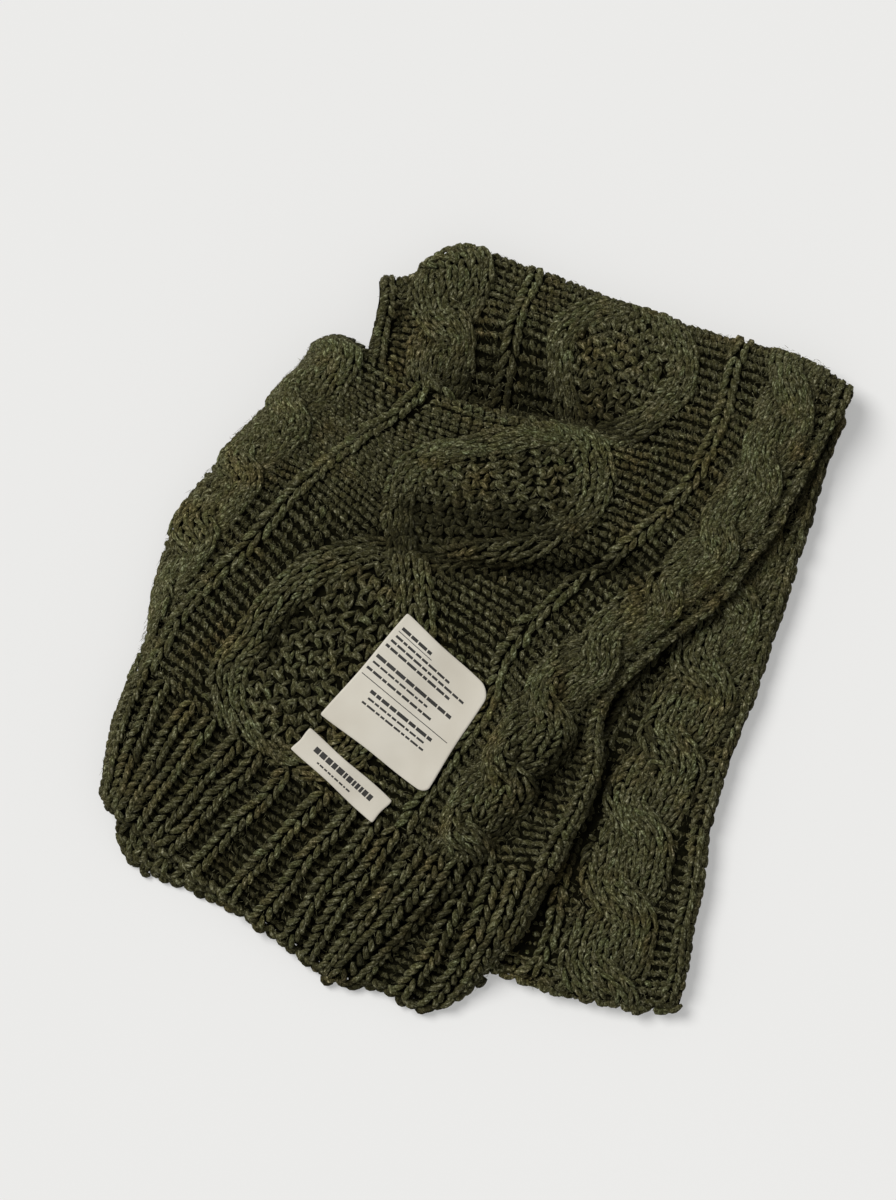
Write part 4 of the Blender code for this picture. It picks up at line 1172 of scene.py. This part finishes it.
def pattern_rise(across, course, place):
    """How far the knitted pattern stands above the ground of the cloth."""
    cords = [(centre, 0.0, RIDGE_RISE, RIDGE_RADIUS) for centre in RIDGE_CENTRES]
    cords.append((MOTIF_CENTRE, motif_side(course), MOTIF_RISE, STRAND_RADIUS))
    for centre, start in zip(ROPE_CENTRES, ROPE_TURN_STARTS):
        side = rope_side(np.pi * arc_along(place, centre, course, start) / ROPE_TURN)
        cords.append((centre, side, ROPE_RISE, ROPE_STRAND))
    rise = np.zeros(across.shape)
    for centre, side, height, radius in cords:
        for sign in (-1, 1):
            rise = np.maximum(rise, height * crown(across - centre + sign * side, radius))
    ribs = in_ribs(course)
    return rise * (1 - ribs) + RIB_RISE * rib_wave(across) * ribs


def under_rise(from_inner, course):
    rope_width = 2.0 * ROPE_STRAND * UNDER_ROPE_WIDE
    return np.maximum(
        ROPE_RISE * crown(from_inner - UNDER_ROPE_AT - under_drift(course), rope_width),
        RIDGE_RISE * crown(from_inner - UNDER_RIDGE_AT, RIDGE_RADIUS),
    )


def within(spot, corners, margin):
    """Whether each spot lies inside a label's outline, given clockwise, or as near as the margin."""
    inside = np.ones(spot.shape[:-1], bool)
    for k, (x, y) in enumerate(corners):
        along = np.subtract(corners[(k + 1) % len(corners)], (x, y))
        left_of = along[0] * (spot[..., 1] - y) - along[1] * (spot[..., 0] - x)
        inside &= left_of / np.hypot(*along) < margin
    return inside


def hidden_left(course):
    """How much of the front's left side has turned under."""
    return LEFT_HIDDEN * ease(*LEFT_TURNS_UNDER, course)


def pieces_of(name, cloth, yarns):
    """A mesh for each kind of yarn in a stretch."""
    return [tubes(f"{name}_{kind}", cloth, made) for kind, made in yarns.items()]


def build_front():
    cloth = make_cloth(front_side, (0, UPPER_FROM), (CUT_WIDTH, FRONT_TO), front_painted_shade, top_layer_place)
    courses = np.linspace(FRONT_FROM, FRONT_TO, 96)
    hidden = hidden_left(courses)
    share = np.linspace(0, 1, 109)
    across = hidden[:, None] + share[None, :] * (CUT_WIDTH - hidden[:, None])
    course = np.repeat(courses[:, None], len(share), 1)
    rise = 0.5 * pattern_rise(across, course, front_place) - CLOTH_SUNK - 1.1 * in_ribs(course)
    thickness = np.full(across.shape, WALL - 1.0) - 1.0 * ease(60, 20, across)
    bulge = {"far": 1.5, "near": 1.0, "left": 2.5, "right": 1.0}
    whole = Cloth(front_place, (0, FRONT_FROM), (CUT_WIDTH, FRONT_TO))
    sheet = cloth_sheet("front_cloth", whole, across, course, rise, thickness, bulge)
    joint = row_of(cloth, FRONT_FROM)
    turn_row = row_of(cloth, RIB_START)
    last_row = float(cloth.rows[-1])

    def keep(at, row):
        tucked = (row > joint - 0.9) & (at < TUCKED_TO)
        return (at > hidden_left(course_at(cloth, row)) - 4) & ((row >= joint - 0.6) | tucked)

    def keep_cables(at, row):
        return keep(at, row) & (row < turn_row - 0.2)

    def press(at, row):
        tuck = 0.45 * on_tuck(at) * ease(joint + 3.0, joint - 0.5, row)
        corner = 0.6 * ease(75, 55, at) * ease(joint + 7, joint + 2, row)
        return (1 - tuck) * (1 - 0.35 * ease(50, 26, at)) * (1 - corner)

    row_span = (math.floor(joint) - 3.0, turn_row + 1.2)
    yarns = pattern(cloth, top_layer_place, row_span, keep_cables, press)
    rib_rows = np.arange(last_row - 0.75, turn_row - 0.3, -1.0)[::-1]
    knits, purls = ribbed(cloth, RIB_CRESTS[:-2], rib_rows, RIB_RISE - 0.7, -1.1)
    yarns["ribs"] = only(knits, keep)
    yarns["rib_valleys"] = only(purls, keep)
    yarns["edges"] += only(edge_chains(cloth, CUT_WIDTH, rib_rows, False), keep)
    yarns["hem"] = only(bound_edge(cloth, CUT_WIDTH, last_row, RIB_CRESTS[0], 0.0, 0.2), keep)

    def clear(at, row):
        spot = front_side(at, course_at(cloth, row))[..., :2]
        covered = within(spot, LABEL_CORNERS, 5.0) | within(spot, SMALL_LABEL_CORNERS, 5.0)
        return keep(at, row) & (row < last_row - 0.5) & ~covered

    def rise_at(at, row):
        return pattern_rise(at, course_at(cloth, row), top_layer_place) * press(at, row)

    span = ((0, CUT_WIDTH), (joint - 1.0, last_row))
    fibres = loose_fibres("front_fibres", cloth, 11000, *span, rise_at, clear)
    return sheet, pieces_of("front", cloth, yarns) + [fibres]


def build_upper():
    cloth = make_cloth(upper_side, (0, UPPER_FROM), (CUT_WIDTH, FRONT_TO), upper_painted_shade, top_layer_place)
    across, course = np.meshgrid(np.linspace(0, CUT_WIDTH, 109), np.linspace(UPPER_FROM, FRONT_FROM, 44))
    rise = 0.5 * pattern_rise(across, course, top_layer_place) - CLOTH_SUNK
    rise = rise * ease(UPPER_FROM - 0.02, -0.86, course)
    thickness = WALL - 1.0 - 1.5 * ease(-0.82, -0.9, course)
    bulge = {"far": 0.3, "near": 0.0, "left": 2.5, "right": 2.0}
    whole = Cloth(upper_place, (0, UPPER_FROM), (CUT_WIDTH, FRONT_FROM))
    sheet = cloth_sheet("upper_cloth", whole, across, course, rise, thickness, bulge)
    joint = row_of(cloth, FRONT_FROM)

    def keep(at, row):
        tucked = np.interp(at, LINES, TUCK_MEETS) < TUCKED_TO
        return (row > -0.7) & ((row < joint - 0.6) | ((row < joint + 0.4) & tucked))

    def press(at, row):
        return 0.25 + 0.75 * ease(-0.5, 3.2, row)

    def rise_at(at, row):
        return pattern_rise(at, course_at(cloth, row), top_layer_place) * press(at, row)

    yarns = pattern(cloth, top_layer_place, (-1.0, math.floor(joint) + 4.0), keep, press)
    yarns["ridges"] = only(yarns["ridges"], lambda at, row: row > 0.7)
    fibres = loose_fibres("upper_fibres", cloth, 3400, (0, CUT_WIDTH), (0.0, joint), rise_at, keep)
    return sheet, pieces_of("upper", cloth, yarns) + [fibres]


def build_under():
    cloth = make_cloth(under_place, (0, 0.0), (UNDER_WIDTH, float(UNDER[-1].course)), under_painted_shade)
    across, course = np.meshgrid(np.linspace(0, UNDER_WIDTH, 40), np.linspace(0, UNDER[-1].course, 110))
    rise = 0.4 * under_rise(across, course) * ease(8.0, 7.0, course) - 1.2
    thickness = 4.0 - 1.8 * ease(6.0, 6.8, course)
    bulge = {"far": 0.0, "near": 0.3, "left": 0.0, "right": 1.0}
    sheet = cloth_sheet("under_cloth", cloth, across, course, rise, thickness, bulge)
    last = float(cloth.rows[-1])
    rows = np.arange(0.0, last + 0.5, 1.0)

    def keep(at, row):
        return row < last - 0.8

    def press(at, row):
        return 0.25 + 0.75 * ease(last, last - 3.5, row)

    turns = (under_place, UNDER_ROPE_AT, 0.1)
    yarns = {"ground": [], "ropes": rope(cloth, *turns, (0.0, last + 1.5), UNDER_ROPE_WIDE, under_drift)}
    for band in UNDER_BANDS:
        q, row, pitch, odd = wale_grid(*band, rows)
        course = course_at(cloth, row + 0.3)
        clear = beside_rope(*turns, q, course, UNDER_ROPE_WIDE, under_drift(course))
        q = q + 0.2 * pitch * (odd - 0.5)
        yarns["ground"] += purl(q[clear], row[clear], pitch * 1.05, 2.0, 0.6)
    yarns["ridges"] = column(cloth, [UNDER_RIDGE_AT], rows, 11.5, 2.35, RIDGE_RISE - 0.5, 1.36, 0.54)
    yarns["edges"] = edge_chains(cloth, UNDER_WIDTH, rows, False)
    rim = row_of(cloth, UNDER_RIM)
    yarns = {kind: only(made, lambda at, row: row < rim - 0.6, press) for kind, made in yarns.items()}
    yarns["hem"] = bound_edge(cloth, UNDER_WIDTH, rim, 0.0, 6.0, -0.2)

    def rise_at(at, row):
        return under_rise(at, course_at(cloth, row)) * press(at, row)

    fibres = loose_fibres("under_fibres", cloth, 3400, (25, UNDER_WIDTH), (0.0, last), rise_at, keep)
    return sheet, pieces_of("under", cloth, yarns) + [fibres]


def build_second_hem():
    width = HEM[-1].across
    cloth = make_cloth(hem_place, (0.0, 0.0), (float(width), 2.0), hem_painted_shade)
    ribs = round(width / RIB_PITCH)
    pitch = width / ribs
    across, course = np.meshgrid(np.linspace(0.8, width, 57), np.linspace(0, 1.76, 9))
    rise = 2.2 * (0.5 - 0.5 * np.cos(2 * np.pi * across / pitch)) - 1.0
    thickness = hem_place(across, course)[..., 2] - 0.4
    bulge = {"far": 0.0, "near": 0.4, "left": 0.4, "right": 0.0}
    sheet = cloth_sheet("second_hem_cloth", cloth, across, course, rise, thickness, bulge)
    last = float(cloth.rows[-1])
    rows = np.arange(-2.0, last - 1.1, 1.0)
    knits, purls = ribbed(cloth, pitch * (np.arange(ribs) + 0.5), rows, 0.9, 0.2, 11.5, 2.4)
    yarns = {"ribs": knits, "rib_valleys": purls, "edge": bound_edge(cloth, width, last, 0.0, 16.0, -0.6)}
    yarns["side"] = column(cloth, [-0.4], rows + 0.5, 5.0, 2.1, -2.0)
    return sheet, pieces_of("second_hem", cloth, yarns)


def points_at(line, lengths, at):
    """Places along a flat line of points, by how far along it they are."""
    return np.stack([np.interp(at, lengths, line[:, k]) for k in (0, 1)], -1)


def stack_outline(count, inset, wobble):
    """The lower layers' outline, smoothed, drawn in by an inset and made a little uneven."""
    corners = np.array(STACK_EDGE + STACK_EDGE[:1], float)
    lengths = arc_lengths(corners)
    at = np.linspace(0, lengths[-1], count, endpoint=False)
    edge = points_at(corners, lengths, at)
    smooth = sum(np.roll(edge, k, 0) for k in (-2, -1, 0, 1, 2)) / 5
    turn = 2 * np.pi * at / lengths[-1]
    return smooth + unit(-smooth) * (inset + wobble * (1 + np.sin(3 * turn + wobble) * 0.6))[:, None]


def layer_chain(line, height):
    """Stitches along a lower layer's edge: their centres, normals and radii."""
    closed = np.vstack([line, line[:1]])
    lengths = arc_lengths(closed)
    stitches = np.arange(0, lengths[-1], 8.4)[:, None]
    at = (stitches + 10.5 * BEAD + uneven(len(stitches), 0.3)) % lengths[-1]
    place = points_at(closed, lengths, at)
    outward = unit(place)
    swell = np.sin(np.pi * BEAD)
    place = place + outward * (1.2 * swell - 0.6)[..., None]
    tall = height + 1.5 * (BEAD - 0.5) * np.where(height % 8 > 4, 1, -1) + 0 * at
    radius = 1.75 * (0.5 + 0.5 * swell**0.7) + 0 * at
    return np.dstack([place, tall[..., None]]), np.dstack([outward, 0 * tall[..., None]]), radius


def build_layers():
    """The two lowest layers, whose edges show under the others: rounded, with stitches along them."""
    layers, chains = [], []
    for low, high, wobble in ((0.2, 7.9, 0.6), (8.1, 15.8, 1.8)):
        middle = (low + high) / 2
        rings = []
        for angle in np.linspace(-90, 90, 7):
            edge = stack_outline(LAYER_SIDES, 1.6 + 3.2 * (1 - math.cos(math.radians(angle))), wobble)
            height = middle + (high - low) / 2 * math.sin(math.radians(angle))
            rings.append(np.column_stack([edge, np.full(LAYER_SIDES, height)]))
        faces = tube_faces(len(rings), LAYER_SIDES)[1:]
        # The layers' bodies take the dark backing: painted shade under their edge stitches.
        layers.append(mesh_object(f"layer_{len(layers) + 1}", np.vstack(rings), *faces, PAINTED_SHADE_BACKING, "knit"))
        for level, out in ((-0.42, 0.9), (0.0, 0.2), (0.42, 0.9)):
            line = stack_outline(2600, 1.6 + out, wobble)
            chains.append(layer_chain(line, middle + level * (high - low) / 1.25))
    tube_mesh("layer_edges", *(np.concatenate(part) for part in zip(*chains)), YARN, 5)
    return layers


# ---------------------------------------------------------------- the labels


def rounded(over, down, size, corners):
    """Pulls a unit square's corners in to arcs, and its sides into soft waves."""
    x, y = over * size[0], down * size[1]
    for (cx, cy), radius in corners.items():
        px = radius - np.abs(x - cx * size[0])
        py = radius - np.abs(y - cy * size[1])
        near = (px > 0) & (py > 0)
        scale = np.where(near, np.maximum(px, py) / np.maximum(np.hypot(px, py), 1e-9), 1.0)
        side_x, side_y = (1 if cx == 0 else -1), (1 if cy == 0 else -1)
        x = np.where(near, cx * size[0] + side_x * (radius - px * scale), x)
        y = np.where(near, cy * size[1] + side_y * (radius - py * scale), y)
    wave = 0.005 * size[0]
    x = x + wave * np.sin(7.5 * down + 0.6) * (over - 0.5) * 2
    y = y + wave * np.sin(8.5 * over + 1.2) * (down - 0.5) * 2
    return x / size[0], y / size[1]


class LabelPlane:
    """A label's soft surface over the stitches, by shares over and down it."""

    def __init__(self, corners, trees, cells):
        self.corners = np.array(corners, float)
        self.size = [np.linalg.norm(self.corners[k] - self.corners[0]) for k in (1, 3)]
        self.cells = cells
        over, down = np.meshgrid(np.linspace(0, 1, cells[0] + 1), np.linspace(0, 1, cells[1] + 1))
        place = self.flat(over, down)
        cloth = np.full(over.shape, -1e9)
        for spot in np.ndindex(over.shape):
            x, y = (place[spot] - MIDDLE) * MM
            for tree in trees:
                hit = tree.ray_cast(Vector((x, y, RAY_FROM)), Vector((0, 0, -1)))[0]
                if hit is not None:
                    cloth[spot] = max(cloth[spot], hit.z / MM)
        height = cloth
        for _ in range(PEAKS_SPREAD):
            padded = np.pad(height, 1, mode="edge")
            rows, columns = height.shape
            around = [padded[i:i + rows, j:j + columns] for i in range(3) for j in range(3)]
            height = np.max(around, axis=0)
        for step in range(SETTLING + RELAXING):
            padded = np.pad(height, 1, mode="edge")
            around = (padded[:-2, 1:-1] + padded[2:, 1:-1] + padded[1:-1, :-2] + padded[1:-1, 2:]) / 4
            height = np.maximum(cloth, around) if step < SETTLING else around
        self.height = height

    def flat(self, over, down):
        first, right, last, left = self.corners
        over, down = np.asarray(over)[..., None], np.asarray(down)[..., None]
        return (first * (1 - over) + right * over) * (1 - down) + (left * (1 - over) + last * over) * down

    def at(self, over, down, above):
        x = np.clip(np.asarray(over) * self.cells[0], 0, self.cells[0] - 1e-6)
        y = np.clip(np.asarray(down) * self.cells[1], 0, self.cells[1] - 1e-6)
        i, j = y.astype(int), x.astype(int)
        fx, fy = x - j, y - i
        h = self.height
        height = (h[i, j] * (1 - fx) + h[i, j + 1] * fx) * (1 - fy)
        height = height + (h[i + 1, j] * (1 - fx) + h[i + 1, j + 1] * fx) * fy
        return np.dstack([self.flat(over, down), (height + above)[..., None]])


def build_label(name, plane, corner_radii):
    count = max(13, round(60 * plane.size[1] / plane.size[0])) + 1
    over, down = np.meshgrid(np.linspace(0, 1, 61), np.linspace(0, 1, count))
    over, down = rounded(over, down, plane.size, corner_radii)
    low, high = plane.at(over, down, TAPE_BOTTOM), plane.at(over, down, TAPE_TOP)
    rim = []
    for spot in border(over.shape[0] - 1, over.shape[1] - 1):
        middle = (low[spot] + high[spot]) / 2
        away = unit(middle[:2] - plane.corners.mean(0))
        rim.append([*(middle[:2] + 0.12 * away), middle[2]])
    return closed_grid(name, high, low, np.array(rim), TAPE, "label")


def build_print(name, plane, lines):
    """Rows of plain dashes where the real label has words."""
    quads, points, base = [], [], 0
    for down, start, end, thick, longest in lines:
        half = thick * DASH_WEIGHT / 2 / plane.size[1]
        at = start
        while at < end - 0.01:
            length = longest * (0.35 + 0.65 * rng.random()) if longest else end - start
            stop = min(at + length, end)
            steps = max(2, int((stop - at) * plane.size[0] / 1.5) + 1)
            along = np.linspace(at, stop, steps)
            for edge in (down - half, down + half):
                points.append(plane.at(along[None, :], np.full((1, steps), edge), INK_TOP)[0])
            for k in range(base, base + steps - 1):
                quads.append((k + steps, k + steps + 1, k + 1, k))
            base += 2 * steps
            at = stop + DASH_GAP / plane.size[0]
    return quad_mesh(name, np.vstack(points), np.array(quads), INK, "label")


# ---------------------------------------------------------------- putting it together

front_sheet, front_yarns = build_front()
upper_sheet, upper_yarns = build_upper()
under_sheet, under_yarns = build_under()
hem_sheet, hem_yarns = build_second_hem()
layer_pieces = build_layers()

bpy.context.view_layer.update()
depsgraph = bpy.context.evaluated_depsgraph_get()
label_trees = [BVHTree.FromObject(piece, depsgraph) for piece in front_yarns if piece.name != "front_fibres"]
big_plane = LabelPlane(LABEL_CORNERS, label_trees, (44, 50))
small_plane = LabelPlane(SMALL_LABEL_CORNERS, label_trees, (44, 14))
big_label = build_label("big_label_tape", big_plane, BIG_CORNER_RADII)
small_label = build_label("small_label_tape", small_plane, dict.fromkeys(BIG_CORNER_RADII, 0.8))
big_print = build_print("big_label_dashes", big_plane, BIG_PRINT)
small_print = build_print("small_label_dashes", small_plane, SMALL_PRINT)

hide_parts("front_stretch")
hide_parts("upper_stretch")
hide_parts("under_stretch")
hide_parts("second_hem")
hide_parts("folded_layers")
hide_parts("big_label")
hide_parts("small_label")


# ---------------------------------------------------------------- floor, light and camera


def make_floor():
    mesh = bpy.data.meshes.new("floor")
    corners = [(x * FLOOR_HALF, y * FLOOR_HALF, 0) for x, y in ((-1, -1), (1, -1), (1, 1), (-1, 1))]
    mesh.from_pydata(corners, [], [(0, 1, 2, 3)])
    mesh.materials.append(floor_material())
    thing = in_scene("floor", mesh)


def make_light():
    sun = bpy.data.lights.new("window", "SUN")
    sun.energy = 2.9
    sun.angle = math.radians(30)
    sun.color = (1.0, 0.99, 0.965)
    direction = Vector((0.56, -0.46, -1.0))
    in_scene("window", sun).rotation_euler = direction.to_track_quat("-Z", "Y").to_euler()
    world = bpy.data.worlds.new("studio")
    world.use_nodes = True
    background = world.node_tree.nodes["Background"]
    background.inputs["Color"].default_value = (1.0, 1.0, 0.99, 1.0)
    background.inputs["Strength"].default_value = 0.34
    bpy.context.scene.world = world


def make_camera():
    camera = bpy.data.cameras.new("camera")
    camera.sensor_width = SENSOR
    camera.lens = SENSOR * (CAMERA_HEIGHT - PLANE) / (PHOTO_SIZE[1] * PIXEL * MM)
    camera.clip_end = 50
    thing = in_scene("camera", camera)
    x = (PHOTO_SIZE[0] / 2 - PHOTO_ORIGIN[0]) * PIXEL - MIDDLE[0]
    y = (PHOTO_ORIGIN[1] - PHOTO_SIZE[1] / 2) * PIXEL - MIDDLE[1]
    thing.location = (x * MM, y * MM, CAMERA_HEIGHT)
    bpy.context.scene.camera = thing


make_floor()
make_light()
make_camera()
bpy.context.scene.view_settings.view_transform = "Standard"
bpy.context.scene.view_settings.look = "None"
